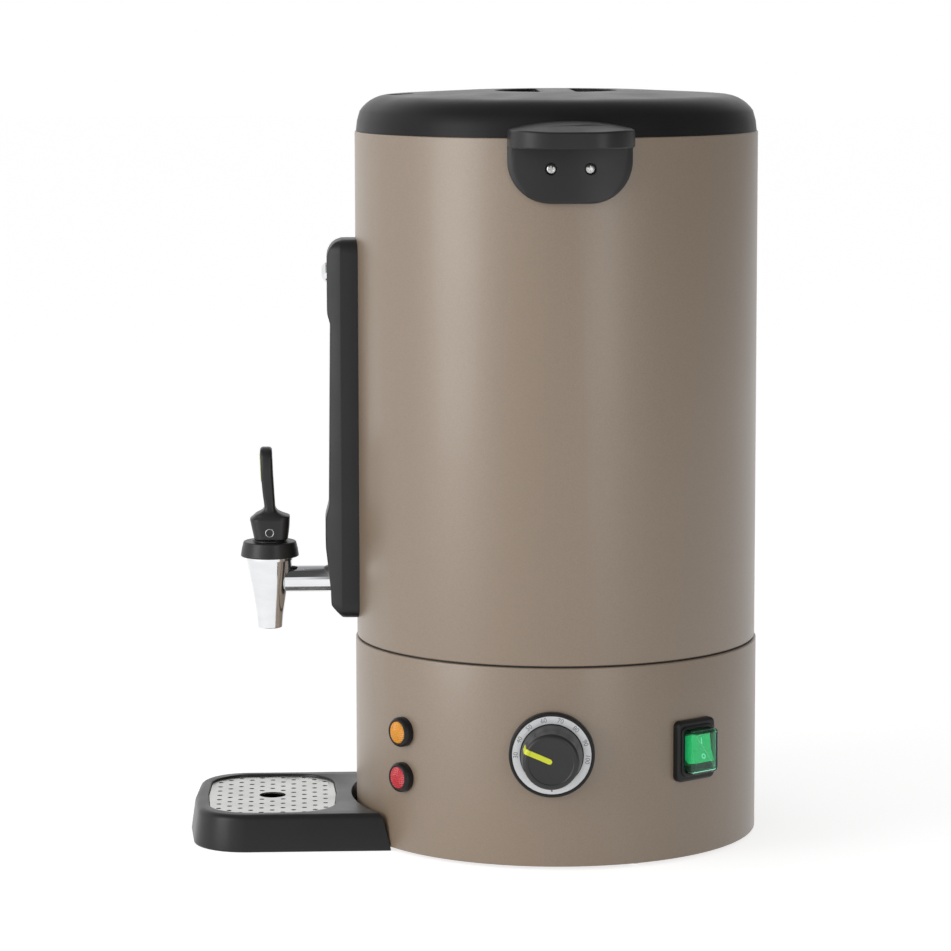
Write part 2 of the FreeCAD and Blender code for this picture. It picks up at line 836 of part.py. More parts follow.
def gauge_cap():
    """The holder over the top of the glass, with a small air hole."""
    axis = body_radius + gauge_tube_offset
    low = gauge_tube_high - gauge_socket_depth
    cap = rod(gauge_tube_radius + gauge_collar, low, gauge_tube_high + 3)
    socket = rod(gauge_tube_radius + running_fit, low - 1, gauge_tube_high)
    seal_seat = rod(gauge_seal_radius, low - 1, gauge_tube_high - 5)
    air = rod(gauge_air_radius, low, gauge_tube_high + 5)
    lug = Part.makeBox(8, axis - body_radius - running_fit - 1.0, 6, V(-4, 0, gauge_tube_high - 4))
    cap = cap.fuse(lug).cut([socket, seal_seat, air])
    return placed(cap, 0, -axis, 0)


# Tap

def tap_body():
    """The plated casting: a tapered valve body, its outlet, and the pipe and shank into the tank."""
    low = cone_bottom
    collar = cone_top - 2.3
    cone = turned((0, low), (cone_mouth_radius - 0.6, low), (cone_mouth_radius, low + 0.6),
                  (cone_mouth_radius + 0.7, low + 9.3), ((cone_waist_radius, low + 24.7), (cone_top_radius, collar)),
                  (cone_top_radius, cone_top), (neck_radius, cone_top),
                  (neck_radius, cone_top + neck_height), (0, cone_top + neck_height))
    shoulder = gauge_tee_front
    pipe = rod(pipe_radius, shoulder, tap_axis).fuse(rod(shank_radius, shank_end, shoulder + 1))
    body = placed(cone, 0, -tap_axis, 0).fuse(outward(pipe, 0, tap_height))
    floor = tap_height - valve_room_drop
    room = turned((0, floor), (valve_room_radius, floor), (neck_radius - 2.4, cone_top),
                  (neck_radius - 2.4, cone_top + neck_height + 1), (0, cone_top + neck_height + 1))
    cuts = [placed(room, 0, -tap_axis, 0), placed(rod(spout_bore, low - 1, floor + 1), 0, -tap_axis, 0)]
    cuts.append(outward(rod(pipe_bore, shank_end - 1, tap_axis), 0, tap_height))
    branch = rod(gauge_tube_radius - gauge_tube_wall - 1, tap_height, tap_height + shank_radius + 3)
    cuts.append(placed(branch, 0, -body_radius - gauge_tube_offset, 0))
    return body.cut(cuts)


def tap_nut():
    high = tank_washer_inner
    nut = hexagon_nut(shank_radius + 5.5, shank_radius + running_fit, high - tap_nut_height, high)
    return outward(nut, 0, tap_height)


def tap_washers():
    """Two seals on the shank: one between the walls and one inside the tank."""
    outer = shank_radius + tap_washer_width
    spacer = tube(outer, shank_radius + hole_gap, tank_outer + running_fit, body_inner - 0.8)
    inner = tube(outer, shank_radius + hole_gap, tank_washer_inner, tank_inner + 3)
    inner = outward(inner, 0, tap_height).common(rod(tank_inner - running_fit, 0, rim))
    return Part.makeCompound([outward(spacer, 0, tap_height), inner])


def tap_bonnet():
    low = cone_top + running_fit
    r = bonnet_radius
    collar_top = bonnet_top + bonnet_collar_height
    cap = turned((neck_radius + running_fit, low), (r - 0.5, low), (r, low + 0.6),
                 ((r - 0.6, low + 5), (r - 1.6, bonnet_top - 1.2)),
                 ((r - 2.0, bonnet_top - 0.3), (r - 3.0, bonnet_top)), (bonnet_collar_radius, bonnet_top),
                 (bonnet_collar_radius, collar_top), (stem_radius + running_fit, collar_top),
                 (stem_radius + running_fit, bonnet_top - bonnet_sheet),
                 (neck_radius + running_fit, bonnet_top - bonnet_sheet))
    return placed(cap, 0, -tap_axis, 0)


def valve_stem():
    low = tap_height - valve_room_drop + 3.0
    stem = rod(stem_radius, low, pin_height + 3.4)
    hole = Part.makeCylinder(lever_pin_radius + running_fit, 20, V(-10, 0, pin_height), V(1, 0, 0))
    return placed(stem.cut(hole), 0, -tap_axis, 0)


def valve_cup():
    low = tap_height - valve_room_drop + slip_gap
    r = valve_room_radius - 0.9
    cup = turned((0, low), (r - 0.6, low), (r, low + 0.6), (r, low + 2.5), (r - 1.6, low + 6.0), (0, low + 6.0))
    return placed(cup.cut(rod(stem_radius, tap_height - valve_room_drop + 3.0, tap_height)), 0, -tap_axis, 0)


def valve_spring():
    low = tap_height - valve_room_drop + slip_gap + 6.1
    sleeve = tube(stem_radius + 2.1, stem_radius + 0.8, low, bonnet_top - bonnet_sheet - 0.1)
    return placed(sleeve, 0, -tap_axis, 0)


def lever_side():
    """The lever's side view: a hood that rocks on the bonnet, and a blade that leans to the front."""
    low = bonnet_top + lever_gap
    top = low + hood_height
    end = top + blade_height
    a = tap_axis
    return outline(on_side_plane, (a - 12.3, low), (a + 9.8, low), (a + 10.4, low + 0.6),
                   ((a + 12.0, low + 7.6), (a + 13.2, top - 3.0)), (a + 8.7, top + 0.3),
                   ((a + 4.4, top + 2.5), (a + 3.4, top + 4.9)), ((a + 5.2, top + 23.8), (a + 6.1, end - 2.0)),
                   ((a + 5.5, end - 0.6), (a + 4.1, end)), (a, end), ((a - 1.4, end - 0.6), (a - 2.0, end - 2.0)),
                   ((a - 2.8, top + 23.8), (a - 3.9, top + 4.9)), ((a - 6.9, top + 1.4), (a - 13.7, top - 1.2)),
                   ((a - 13.3, low + 7.6), (a - 12.3, low)))


def tap_lever():
    low = bonnet_top + lever_gap
    top = low + hood_height
    end = top + blade_height
    half = lever_width / 2
    solid = across_both_ways(lever_side(), lever_width)
    neck = half - 3.5
    face = outline(on_front_plane, (-half, low), (half, low), (half, top - 4),
                   ((half - 1.2, top - 0.8), (neck + 0.6, top + 4)), ((neck + 0.2, top + 14), (half - 1, end - 16)),
                   ((half - 1.5, end - 6), (half - 6, end - 1.2)), ((0, end + 0.2), (6 - half, end - 1.2)),
                   ((1.5 - half, end - 6), (1 - half, end - 16)), ((-neck - 0.2, top + 14), (-neck - 0.6, top + 4)),
                   ((1.2 - half, top - 0.8), (-half, top - 4)))
    solid = solid.common(Part.Face(face).extrude(V(0, -tap_axis - 30, 0)))
    plan = placed(rounded_block(lever_width, 27.0, 8.0, low - 1, end + 1), 0, -tap_axis + 0.25, 0)
    solid = solid.common(plan)
    slot_height = lever_pin_rise - lever_gap + 4.4
    slot = placed(block(2 * stem_radius + 1.2, 15.0, low - 1, low + slot_height), 0, -tap_axis, 0)
    pin = Part.makeCylinder(lever_pin_radius, lever_width + 4, V(-half - 2, -tap_axis, pin_height), V(1, 0, 0))
    return solid.cut([slot, pin, lever_inlay()]).removeSplitter()


def lever_pin():
    length = lever_width - 1.0
    return Part.makeCylinder(lever_pin_radius, length, V(-length / 2, -tap_axis, pin_height), V(1, 0, 0))


def lever_inlay():
    """The coloured pad let into the front of the blade."""
    top = bonnet_top + lever_gap + hood_height
    height = blade_height * 0.42
    pad = rounded_block(lever_width * 0.5, height, lever_pad_corner, 0, 3.0)
    pad.rotate(V(0, 0, 0), V(1, 0, 0), 90)
    pad.rotate(V(0, 0, 0), V(1, 0, 0), 2.7)
    return placed(pad, 0, -tap_axis - 3.6, top + blade_height * 0.69)


def lever_insert():
    skin = across_both_ways(lever_side(), lever_width)
    proud = placed(skin, 0, -lever_pad_proud, 0)
    return lever_inlay().common(proud)


# Drip tray

def tray_outline(inset):
    half = tray_width / 2 - inset
    front = base_radius + tray_reach - inset
    corner = tray_corner - inset
    shoulder = front - tray_bow
    k = corner * (1 - math.sqrt(0.5))
    rear = base_radius * 0.6
    return outline(on_plan, (-half, rear), (-half, shoulder - corner),
                   ((k - half, shoulder - k), (corner - half, shoulder)), ((0, front), (half - corner, shoulder)),
                   ((half - k, shoulder - k), (half, shoulder - corner)), (half, rear))


def tray_block(inset, low, high):
    """The tray's outside between two heights: its walls lean in towards the top."""
    wires = []
    for height in (low, high):
        wire = tray_outline(inset + tray_draft * height / tray_height)
        wire.translate(V(0, 0, height))
        wires.append(wire)
    return Part.makeLoft(wires, True, True)


def grille_outline(grow):
    near = base_radius + grille_setback - grow
    far = near + grille_length + 2 * grow
    half = grille_width / 2 + grow
    c = grille_corner + grow
    k = c * (1 - math.sqrt(0.5))
    bow = grille_bow
    return outline(on_plan, (c - half, near + bow), ((0, near), (half - c, near + bow)),
                   ((half - k, near + k + bow / 2), (half, near + c + bow)), (half, far - c - bow),
                   ((half - k, far - k - bow / 2), (half - c, far - bow)), ((0, far), (c - half, far - bow)),
                   ((k - half, far - k - bow / 2), (-half, far - c - bow)), (-half, near + c + bow),
                   ((k - half, near + k + bow / 2), (c - half, near + bow)))


def drip_tray():
    """A moulded tray that hugs the base, with a ledge for the grille and a basin under it."""
    tray = tray_block(0, 0, tray_height)
    top_edges = [edge for edge in tray.Edges if edge.BoundBox.ZMin > tray_height - 0.01]
    tray = tray.makeFillet(tray_edge_round, top_edges)
    low_edges = [edge for edge in tray.Edges if edge.BoundBox.ZMax < 0.01]
    tray = tray.makeFillet(tray_foot_round, low_edges)
    ledge = tray_height - grille_sink - grille_sheet - seat_gap
    pocket = upright(grille_outline(slip_gap), ledge, tray_height + 1)
    basin = upright(grille_outline(-basin_inset), tray_wall + basin_lift, tray_height)
    basin_wall = upright(grille_outline(tray_wall - basin_inset), basin_lift, tray_height)
    under = tray_block(tray_wall, -1, ledge - tray_wall)
    base_clear = base_radius + tray_gap
    under = under.cut([basin_wall, rod(base_clear + tray_wall + notch_depth, -2, tray_height)])
    notch_axis = base_radius + notch_depth - notch_radius
    notch = placed(rod(notch_radius, -1, tray_height + 1), 0, -notch_axis, 0)
    lean = Part.makeCone(base_clear, base_clear + tray_draft, tray_height + 0.01)
    return tray.cut([rod(base_clear, -1, tray_height + 1), lean, notch, pocket, basin, under]).removeSplitter()


def perforations():
    """Places of the round holes: staggered rows, clear of the finger hole and of the edge."""
    middle = base_radius + grille_setback + grille_length / 2
    half_across = grille_width / 2 - perforation_margin
    half_along = grille_length / 2 - perforation_margin
    corner = grille_corner - perforation_margin
    places = []
    for column in range(perforation_columns):
        along = (column - (perforation_columns - 1) / 2) * perforation_column_step
        shift = perforation_row_step / 2 if column % 2 else 0.0
        rows = int(half_across / perforation_row_step) + 1
        for row in range(-rows, rows + 1):
            across = row * perforation_row_step + shift
            over_x = max(abs(across) - half_across + corner, 0)
            over_y = max(abs(along) - half_along + corner, 0)
            inside = math.hypot(over_x, over_y) <= corner
            if inside and math.hypot(across, along) > finger_hole_radius + perforation_radius + 1.5:
                places.append((across, middle + along))
    return places


def drip_grille():
    top = tray_height - grille_sink
    plate = upright(grille_outline(0), top - grille_sheet, top)
    middle = base_radius + grille_setback + grille_length / 2
    holes = [placed(rod(finger_hole_radius, 0, tray_height + 1), 0, -middle, 0)]
    for across, along in perforations():
        holes.append(placed(rod(perforation_radius, top - grille_sheet - 1, top + 1), across, -along, 0))
    return plate.cut(Part.makeCompound(holes))


# Thermostat dial

def on_base_surface(shape, azimuth, height):
    """Face a control outwards and trim its back to the base's curve."""
    return outward(shape, azimuth, height).cut(rod(base_radius + running_fit, 0, base_top))


def dial_bezel():
    r = dial_radius
    floor = dial_floor
    front = base_radius + dial_depth
    disc = turned((nut_radius + 0.7, base_radius - 8), (r, base_radius - 8), (r, front - 1.0),
                  ((r - 0.3, front - 0.3), (r - 1.0, front)), (r - dial_rim, front), (r - dial_rim, floor),
                  (nut_radius + 0.7, floor))
    return on_base_surface(disc, dial_azimuth, dial_height)


def scale_ring():
    outer = dial_radius - dial_rim - running_fit
    ring = tube(outer, scale_inner_radius, dial_floor, dial_floor + scale_sheet)
    return outward(ring, dial_azimuth, dial_height)


def knob_form(grow):
    low = knob_back
    front = low + knob_height + grow
    r = knob_radius + grow
    f = knob_face_radius + grow
    return turned((0, low), (r, low), (r, low + 2), ((r - 0.8, low + 7), (f + 0.9, front - 3)),
                  ((f + 0.2, front - 0.8), (f - 1.6, front)), (0, front))


def pointer_bar():
    low = base_radius + dial_depth + knob_height * 0.42
    bar = Part.makeBox(knob_radius + 3, pointer_width, knob_height, V(1.0, -pointer_width / 2, low))
    bar.rotate(V(0, 0, 0), V(0, 0, 1), pointer_angle)
    return bar


def knob():
    hollow = tube(knob_face_radius - 2.5, shaft_radius + 3, knob_back - 1, knob_back + knob_height - 4)
    bore = rod(shaft_radius + thread_fit, knob_back - 1, shaft_tip)
    strip = pointer_bar().cut(knob_form(-pointer_depth))
    return outward(knob_form(0).cut([hollow, bore, strip]), dial_azimuth, dial_height)


def knob_pointer():
    strip = pointer_bar().common(knob_form(pointer_proud)).cut(knob_form(-pointer_depth))
    return outward(strip, dial_azimuth, dial_height)


def thermostat():
    """The capillary thermostat: a cased switch with its bush through the panel."""
    front = base_radius - thermostat_setback
    back = front - thermostat_depth
    rear = back - thermostat_cover
    case = rounded_block(thermostat_width, thermostat_height, thermostat_corner, back, front)
    cover = rounded_block(thermostat_width - thermostat_cover, thermostat_height - thermostat_cover,
                          thermostat_corner, rear, back + 1)
    tab = block(tab_sheet, tab_width, rear - tab_length, rear + 1)
    tabs = [placed(tab, x, 0, 0) for x in (-tab_spread, tab_spread)]
    bush = rod(bush_radius, front - 1, dial_floor - 0.6)
    bore = rod(shaft_radius + running_fit, front - shaft_sink - 0.5, base_radius + dial_depth)
    return outward(case.fuse([cover, bush] + tabs).cut(bore), dial_azimuth, dial_height)


def thermostat_shaft():
    inner = base_radius - thermostat_setback - shaft_sink
    return outward(rod(shaft_radius, inner, shaft_tip - hole_gap), dial_azimuth, dial_height)


def thermostat_nut():
    nut = hexagon_nut(nut_radius, bush_radius + thread_fit, base_radius + running_fit, dial_floor - 1.0)
    return outward(nut, dial_azimuth, dial_height)


# Switch

def switch_frame():
    front = base_radius + switch_frame_depth
    frame = rounded_block(switch_frame_width, switch_frame_height, 4.0, base_radius - panel_sink, front)
    rims = [edge for edge in frame.Edges if edge.BoundBox.ZMin > front - 0.01]
    frame = frame.makeFillet(1.6, rims)
    opening = rounded_block(switch_boot_width + 2 * hole_gap, switch_boot_height + 2 * hole_gap, 3.0,
                            base_radius - 5, front + 1)
    pocket = block(switch_body_width + 2 * hole_gap, switch_body_height + 2 * hole_gap,
                   base_radius - 5, base_radius + 2.4)
    return on_base_surface(frame.cut([opening, pocket]), switch_azimuth, switch_height)


def switch_body():
    """The snap-in switch with its rocker pit and three blade terminals."""
    front = base_radius + 2.2
    back = base_radius - switch_body_depth
    body = block(switch_body_width, switch_body_height, back, front)
    pit = block(rocker_width + 1.2, rocker_height + 3.2, base_radius - switch_pit_depth, front + 1)
    trunnion = Part.makeCylinder(rocker_pin_radius + running_fit, rocker_width + 4,
                                 V(-rocker_width / 2 - 2, 0, base_radius), V(1, 0, 0))
    tab = block(tab_width, tab_sheet, back - tab_length, back + 1)
    tabs = [placed(tab, 0, y, 0) for y in (-switch_tab_spread, 0, switch_tab_spread)]
    return outward(body.cut([pit, trunnion]).fuse(tabs), switch_azimuth, switch_height)


def switch_rocker():
    """The lit rocker, tipped so that its upper half is pressed in."""
    half = rocker_height / 2
    root = rocker_root_width / 2
    corners = [(half, rocker_edge), (half, rocker_tip), (0, rocker_middle), (-half, rocker_tip),
               (-half, rocker_edge), (-root, -rocker_root), (root, -rocker_root), (half, rocker_edge)]
    side = Part.Wire(Part.makePolygon([V(0, y, z) for y, z in corners]))
    body = across_both_ways(side, rocker_width)
    pin_length = rocker_width + 2 * rocker_pin_end
    pin = Part.makeCylinder(rocker_pin_radius, pin_length, V(-pin_length / 2, 0, 0), V(1, 0, 0))
    rocker = body.fuse(pin)
    rocker.rotate(V(0, 0, 0), V(1, 0, 0), -rocker_tilt)
    return outward(placed(rocker, 0, 0, base_radius), switch_azimuth, switch_height)


def switch_boot():
    """The clear splash cover over the rocker."""
    wall = switch_boot_wall
    low = base_radius + 2.5
    front = base_radius + switch_boot_depth
    boot = rounded_block(switch_boot_width, switch_boot_height, 2.8, low, front)
    rims = [edge for edge in boot.Edges if edge.BoundBox.ZMin > front - 0.01]
    boot = boot.makeFillet(2.4, rims)
    room = rounded_block(switch_boot_width - 2 * wall, switch_boot_height - 2 * wall, 1.6, low - 1, front - wall)
    return outward(boot.cut(room), switch_azimuth, switch_height)


# Lamps

def lamp_bezel(height):
    r = lamp_radius
    front = base_radius + lamp_depth
    inner = lens_radius + running_fit
    back = base_radius - panel_sink
    ring = turned((lamp_body_radius + running_fit, back), (r, back), (r, front - 2.6),
                  ((r - 0.8, front - 0.8), (r - 2.0, front)), (inner, front - 0.5), (inner, base_radius + 2),
                  (lamp_body_radius + running_fit, base_radius + 2))
    return on_base_surface(ring, lamp_azimuth, height)


def lamp_lens(height):
    low = base_radius + 2.0
    edge = base_radius + lamp_depth - 0.7
    top = edge + lens_rise
    lens = turned((0, low), (lens_radius, low), (lens_radius, edge),
                  ((lens_radius * 0.6, edge + lens_rise * 0.7), (lens_radius * 0.2, top)), (0, top))
    return outward(lens, lamp_azimuth, height)


def lamp_bodies():
    back = base_radius - lamp_body_depth
    barrel = rod(lamp_body_radius, back, base_radius + 1.9)
    tab = block(tab_sheet, lamp_tab_width, back - tab_length, back + 1)
    body = barrel.fuse([placed(tab, x, 0, 0) for x in (-lamp_tab_spread, lamp_tab_spread)])
    heights = (amber_lamp_height, red_lamp_height)
    return Part.makeCompound([outward(body, lamp_azimuth, height) for height in heights])


# Cable gland and terminal block

def cable_gland():
    back = base_radius
    inner_end = back - gland_inner_length
    mouth = back + gland_length
    r = gland_radius
    flange = back + gland_flange
    cap = back + gland_cap_height
    form = turned((cable_bore, inner_end), (gland_thread_radius, inner_end), (gland_thread_radius, back - 3),
                  (r, back - 3), (r, flange), (r - 1.2, flange + 0.8), (r - 1.2, cap),
                  ((r - 2.2, cap + 4), (cable_bore + 1.8, mouth)), (cable_bore, mouth))
    shank = rod(gland_thread_radius, inner_end - 1, back + 1)
    trim = rod(base_radius + running_fit, 0, base_top)
    collar = outward(form.cut(shank), gland_azimuth, gland_height).cut(trim)
    core = tube(gland_thread_radius, cable_bore, inner_end, back + 1.5)
    return collar.fuse(outward(core, gland_azimuth, gland_height)).removeSplitter()


def gland_nut():
    high = base_inner - 0.6
    nut = hexagon_nut(gland_radius, gland_thread_radius + thread_fit, high - gland_nut_height, high)
    return outward(nut, gland_azimuth, gland_height)


def terminal_block():
    low = floor_bottom + floor_rise + base_sheet
    deck = low + terminal_height
    top = deck + terminal_tower_height
    body = block(terminal_width, terminal_depth, low, deck)
    tower = rod(terminal_tower_radius, deck - 1, top)
    well = rod(terminal_well_radius, deck + 1, top + 1)
    columns = (-terminal_spacing, 0, terminal_spacing)
    body = body.fuse([placed(tower, x, 0, 0) for x in columns]).cut([placed(well, x, 0, 0) for x in columns])
    return turned_to(placed(body, 0, terminal_inset - foot_inner, 0), gland_azimuth)


# Heater parts under the tank

def heater_plate():
    return rod(heater_radius, tank_bottom - heater_sheet, tank_bottom)


def heating_element():
    """The tubular element: most of a ring under the plate, with two cold legs."""
    top = tank_bottom - heater_sheet
    half = element_section / 2
    inner = element_circle - half
    outer = element_circle + half
    low = top - element_section
    section = outline(on_turning_plane, (inner, low), (outer, low), (outer, top), (inner, top))
    ring = Part.Face(section).revolve(V(0, 0, 0), V(0, 0, 1), element_angle)
    leg = placed(rod(half * 0.9, top - element_leg, top - 1), element_circle, half, 0)
    return ring.fuse([leg, turned_to(placed(leg, 0, -element_section, 0), element_angle)])


def dry_boil_cutout():
    top = tank_bottom - heater_sheet
    low = top - cutout_height
    disc = rod(cutout_radius, top - cutout_flange, top).fuse(rod(cutout_radius * 0.75, low, top - 1))
    tab = block(tab_width, tab_sheet, low - tab_length, low + 1)
    return disc.fuse([placed(tab, 0, y, 0) for y in (-cutout_tab_spread, cutout_tab_spread)])


def bent_path(points, bend):
    """Straight runs joined by tangent arcs."""
    edges = []
    here = points[0]
    for index in range(1, len(points) - 1):
        corner = points[index]
        before = (points[index - 1] - corner).normalize()
        after = (points[index + 1] - corner).normalize()
        turn = math.pi - before.getAngle(after)
        cut = bend * math.tan(turn / 2)
        start = corner + before * cut
        end = corner + after * cut
        inward = (before + after).normalize()
        middle = corner + inward * (math.hypot(bend, cut) - bend)
        edges.append(Part.LineSegment(here, start).toShape())
        edges.append(Part.Arc(start, middle, end).toShape())
        here = end
    edges.append(Part.LineSegment(here, points[-1]).toShape())
    return Part.Wire(edges)


def sensor_bulb():
    """The thermostat's bulb under the heater plate and its capillary, which dips under the element."""
    level = tank_bottom - heater_sheet - bulb_radius
    bulb = Part.makeCylinder(bulb_radius, bulb_length, V(-bulb_length / 2, bulb_offset, level), V(1, 0, 0))
    end = thermostat_port()
    start = V(bulb_length / 2 - 1, bulb_offset, level)
    run = capillary_run
    points = [start, start + V(run, 0, 0), start + V(2.1 * run, -run / 3, -capillary_drop),
              V(end.x, end.y + run, level - capillary_drop - capillary_bend),
              end + V(0, 0, 3 * capillary_bend), end]
    path = bent_path(points, capillary_bend)
    ring = Part.Wire(Part.makeCircle(capillary_radius, start, V(1, 0, 0)))
    capillary = path.makePipeShell([ring], True, False)
    return bulb.fuse(capillary)


def thermostat_port():
    """Where the capillary enters the top of the thermostat's case."""
    reach = base_radius - thermostat_setback - thermostat_depth * 0.65
    angle = math.radians(dial_azimuth)
    return V(reach * math.sin(angle), -reach * math.cos(angle), dial_height + thermostat_height / 2)


NODES = {
    "base_shell": base_shell,
    "bottom_plate": bottom_plate,
    "foot_ring": foot_ring,
    "base_screws": base_screws,
    "seam_gasket": seam_gasket,
    "seam_screws": seam_screws,
    "body_shell": body_shell,
    "tank": tank,
    "heater_plate": heater_plate,
    "heating_element": heating_element,
    "dry_boil_cutout": dry_boil_cutout,
    "sensor_bulb": sensor_bulb,
    "thermostat": thermostat,
    "thermostat_nut": thermostat_nut,
    "thermostat_shaft": thermostat_shaft,
    "knob": knob,
    "knob_pointer": knob_pointer,
    "dial_bezel": dial_bezel,
    "scale_ring": scale_ring,
    "switch_frame": switch_frame,
    "switch_body": switch_body,
    "switch_rocker": switch_rocker,
    "switch_boot": switch_boot,
    "lamp_bezel_amber": lambda: lamp_bezel(amber_lamp_height),
    "lamp_bezel_red": lambda: lamp_bezel(red_lamp_height),
    "lamp_lens_amber": lambda: lamp_lens(amber_lamp_height),
    "lamp_lens_red": lambda: lamp_lens(red_lamp_height),
    "lamp_bodies": lamp_bodies,
    "cable_gland": cable_gland,
    "gland_nut": gland_nut,
    "terminal_block": terminal_block,
    "handle_right": lambda: turned_to(side_handle(), handle_azimuths[0]),
    "handle_left": lambda: turned_to(side_handle(), handle_azimuths[1]),
    "handle_screws": handle_screws,
    "handle_nuts": handle_nuts,
    "gauge_housing": gauge_housing,
    "gauge_tee": gauge_tee,
    "gauge_tube": gauge_tube,
    "gauge_seals": gauge_seals,
    "gauge_cap": gauge_cap,
    "gauge_screw": gauge_screw,
    "gauge_nut": gauge_nut,
    "tap_body": tap_body,
    "tap_nut": tap_nut,
    "tap_washers": tap_washers,
    "tap_bonnet": tap_bonnet,
    "valve_stem": valve_stem,
    "valve_cup": valve_cup,
    "valve_spring": valve_spring,
    "tap_lever": tap_lever,
    "lever_pin": lever_pin,
    "lever_insert": lever_insert,
    "drip_tray": drip_tray,
    "drip_grille": drip_grille,
    "lid_shell": lid_shell,
    "lid_liner": lid_liner,
    "lid_seal": lid_seal,
    "lid_screws": lid_screws,
}

os.makedirs("parts", exist_ok=True)
for name, make in NODES.items():
    shape = make()
    solids = shape.Solids
    if not solids:
        raise ValueError(name + " has no solid")
    if len(solids) == 1:
        shape = solids[0]
    print(name, len(solids), round(shape.Volume), shape.isValid())
    shape.exportStep("parts/" + name + ".step")
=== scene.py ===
import math

import bmesh
import bpy
from bpy.props import FloatProperty, FloatVectorProperty, IntProperty, PointerProperty
from mathutils import Matrix, Vector


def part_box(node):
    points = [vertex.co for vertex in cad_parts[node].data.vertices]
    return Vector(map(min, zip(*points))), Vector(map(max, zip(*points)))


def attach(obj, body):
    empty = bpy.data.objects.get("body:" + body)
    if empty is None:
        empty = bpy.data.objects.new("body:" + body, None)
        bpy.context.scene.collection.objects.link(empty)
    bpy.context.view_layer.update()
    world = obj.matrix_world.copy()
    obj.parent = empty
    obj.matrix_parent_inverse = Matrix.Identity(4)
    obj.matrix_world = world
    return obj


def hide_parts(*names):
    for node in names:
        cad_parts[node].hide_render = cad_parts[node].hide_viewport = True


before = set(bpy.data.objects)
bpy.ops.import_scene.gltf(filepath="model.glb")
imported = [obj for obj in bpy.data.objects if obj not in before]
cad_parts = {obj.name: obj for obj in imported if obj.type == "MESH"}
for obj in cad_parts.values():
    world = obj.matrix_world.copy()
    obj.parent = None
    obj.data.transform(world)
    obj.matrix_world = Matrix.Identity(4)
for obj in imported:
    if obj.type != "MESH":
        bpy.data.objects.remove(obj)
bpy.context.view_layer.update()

bl_info = {
    "name": "Hot water urn",
    "version": (1, 0, 0),
    "blender": (4, 5, 0),
    "location": "View3D > Sidebar > Urn",
    "description": "Dresses the urn's solids with finished shells, controls, tap and tray",
    "category": "Object",
}

# All lengths are in metres. The urn stands on its axis, and the tap points along -Y.
# An azimuth is counted from the tap side towards +X.
mm = 0.001

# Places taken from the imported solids
body_low, body_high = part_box("body_shell")
base_low, base_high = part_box("base_shell")
lid_low, lid_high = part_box("lid_shell")
bonnet_low, bonnet_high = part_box("tap_bonnet")
casting_low, casting_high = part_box("tap_body")
tray_low, tray_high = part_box("drip_tray")
grille_low, grille_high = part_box("drip_grille")
lever_low, lever_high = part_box("tap_lever")
handle_low, handle_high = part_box("handle_right")
gauge_low, gauge_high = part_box("gauge_housing")
bezel_low, bezel_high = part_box("dial_bezel")
boot_low, boot_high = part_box("switch_boot")
screw_low, screw_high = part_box("handle_screws")

body_radius = body_high.x
rim = body_high.z
base_radius = base_high.x
base_top = base_high.z
lid_top = lid_high.z
lid_edge = lid_high.x
tap_reach = -(bonnet_low.y + bonnet_high.y) / 2
cone_top = bonnet_low.z
tap_height = casting_low.z + 33.2 * mm
hood_low = lever_low.z

# Sheet, walls and roundings of the dressed pieces
sheet = 1.0 * mm
folded_edge = 0.9 * mm
lid_wall = 2.4 * mm
small_round = 0.4 * mm
crease_angle = math.radians(38)
turn_step = math.radians(9)
rounding = 0.01
touching = 1e-6


def srgb(red, green, blue):
    """A colour as it shows on screen, from 0 to 255, as the linear colour that a shader takes."""
    def linear(value):
        value = value / 255
        return value / 12.92 if value <= 0.04045 else ((value + 0.055) / 1.055) ** 2.4
    return linear(red), linear(green), linear(blue)


# Outlines

def arc_through(start, middle, end):
    """Points after the start along the circle through three points of a plane."""
    ax, ay = start
    bx, by = middle
    cx, cy = end
    area = 2 * (ax * (by - cy) + bx * (cy - ay) + cx * (ay - by))
    a2, b2, c2 = ax * ax + ay * ay, bx * bx + by * by, cx * cx + cy * cy
    centre = Vector(((a2 * (by - cy) + b2 * (cy - ay) + c2 * (ay - by)) / area,
                     (a2 * (cx - bx) + b2 * (ax - cx) + c2 * (bx - ax)) / area))
    first = Vector(start) - centre
    last = Vector(end) - centre
    turn = math.atan2(first.x * last.y - first.y * last.x, first.dot(last))
    way = (bx - ax) * (cy - ay) - (by - ay) * (cx - ax)
    if turn * way < 0:
        turn -= math.copysign(math.tau, turn)
    steps = max(2, math.ceil(abs(turn) / turn_step - rounding))
    return [tuple(centre + Matrix.Rotation(turn * i / steps, 2) @ first) for i in range(1, steps + 1)]


def outline(start, *steps):
    """Points of a closed outline. A step is a point, or a pair of points for an arc."""
    points = [start]
    for step in steps + (start,):
        if isinstance(step[0], tuple):
            points += arc_through(points[-1], *step)
        else:
            points.append(step)
    return points[:-1]


def filleted(corners, step=2 * turn_step):
    """Points round a closed outline whose corners are given as across, up and radius."""
    points = []
    for index, (across, up, radius) in enumerate(corners):
        corner = Vector((across, up))
        if radius <= 0:
            points.append(tuple(corner))
            continue
        before = (Vector(corners[index - 1][:2]) - corner).normalized()
        after = (Vector(corners[(index + 1) % len(corners)][:2]) - corner).normalized()
        opening = before.angle(after)
        middle = corner + (before + after).normalized() * (radius / math.sin(opening / 2))
        start = corner + before * (radius / math.tan(opening / 2)) - middle
        turn = (math.pi - opening) * (1 if before.cross(after) < 0 else -1)
        steps = max(2, math.ceil(abs(turn) / step - rounding))
        points += [tuple(middle + Matrix.Rotation(turn * i / steps, 2) @ start) for i in range(steps + 1)]
    return points


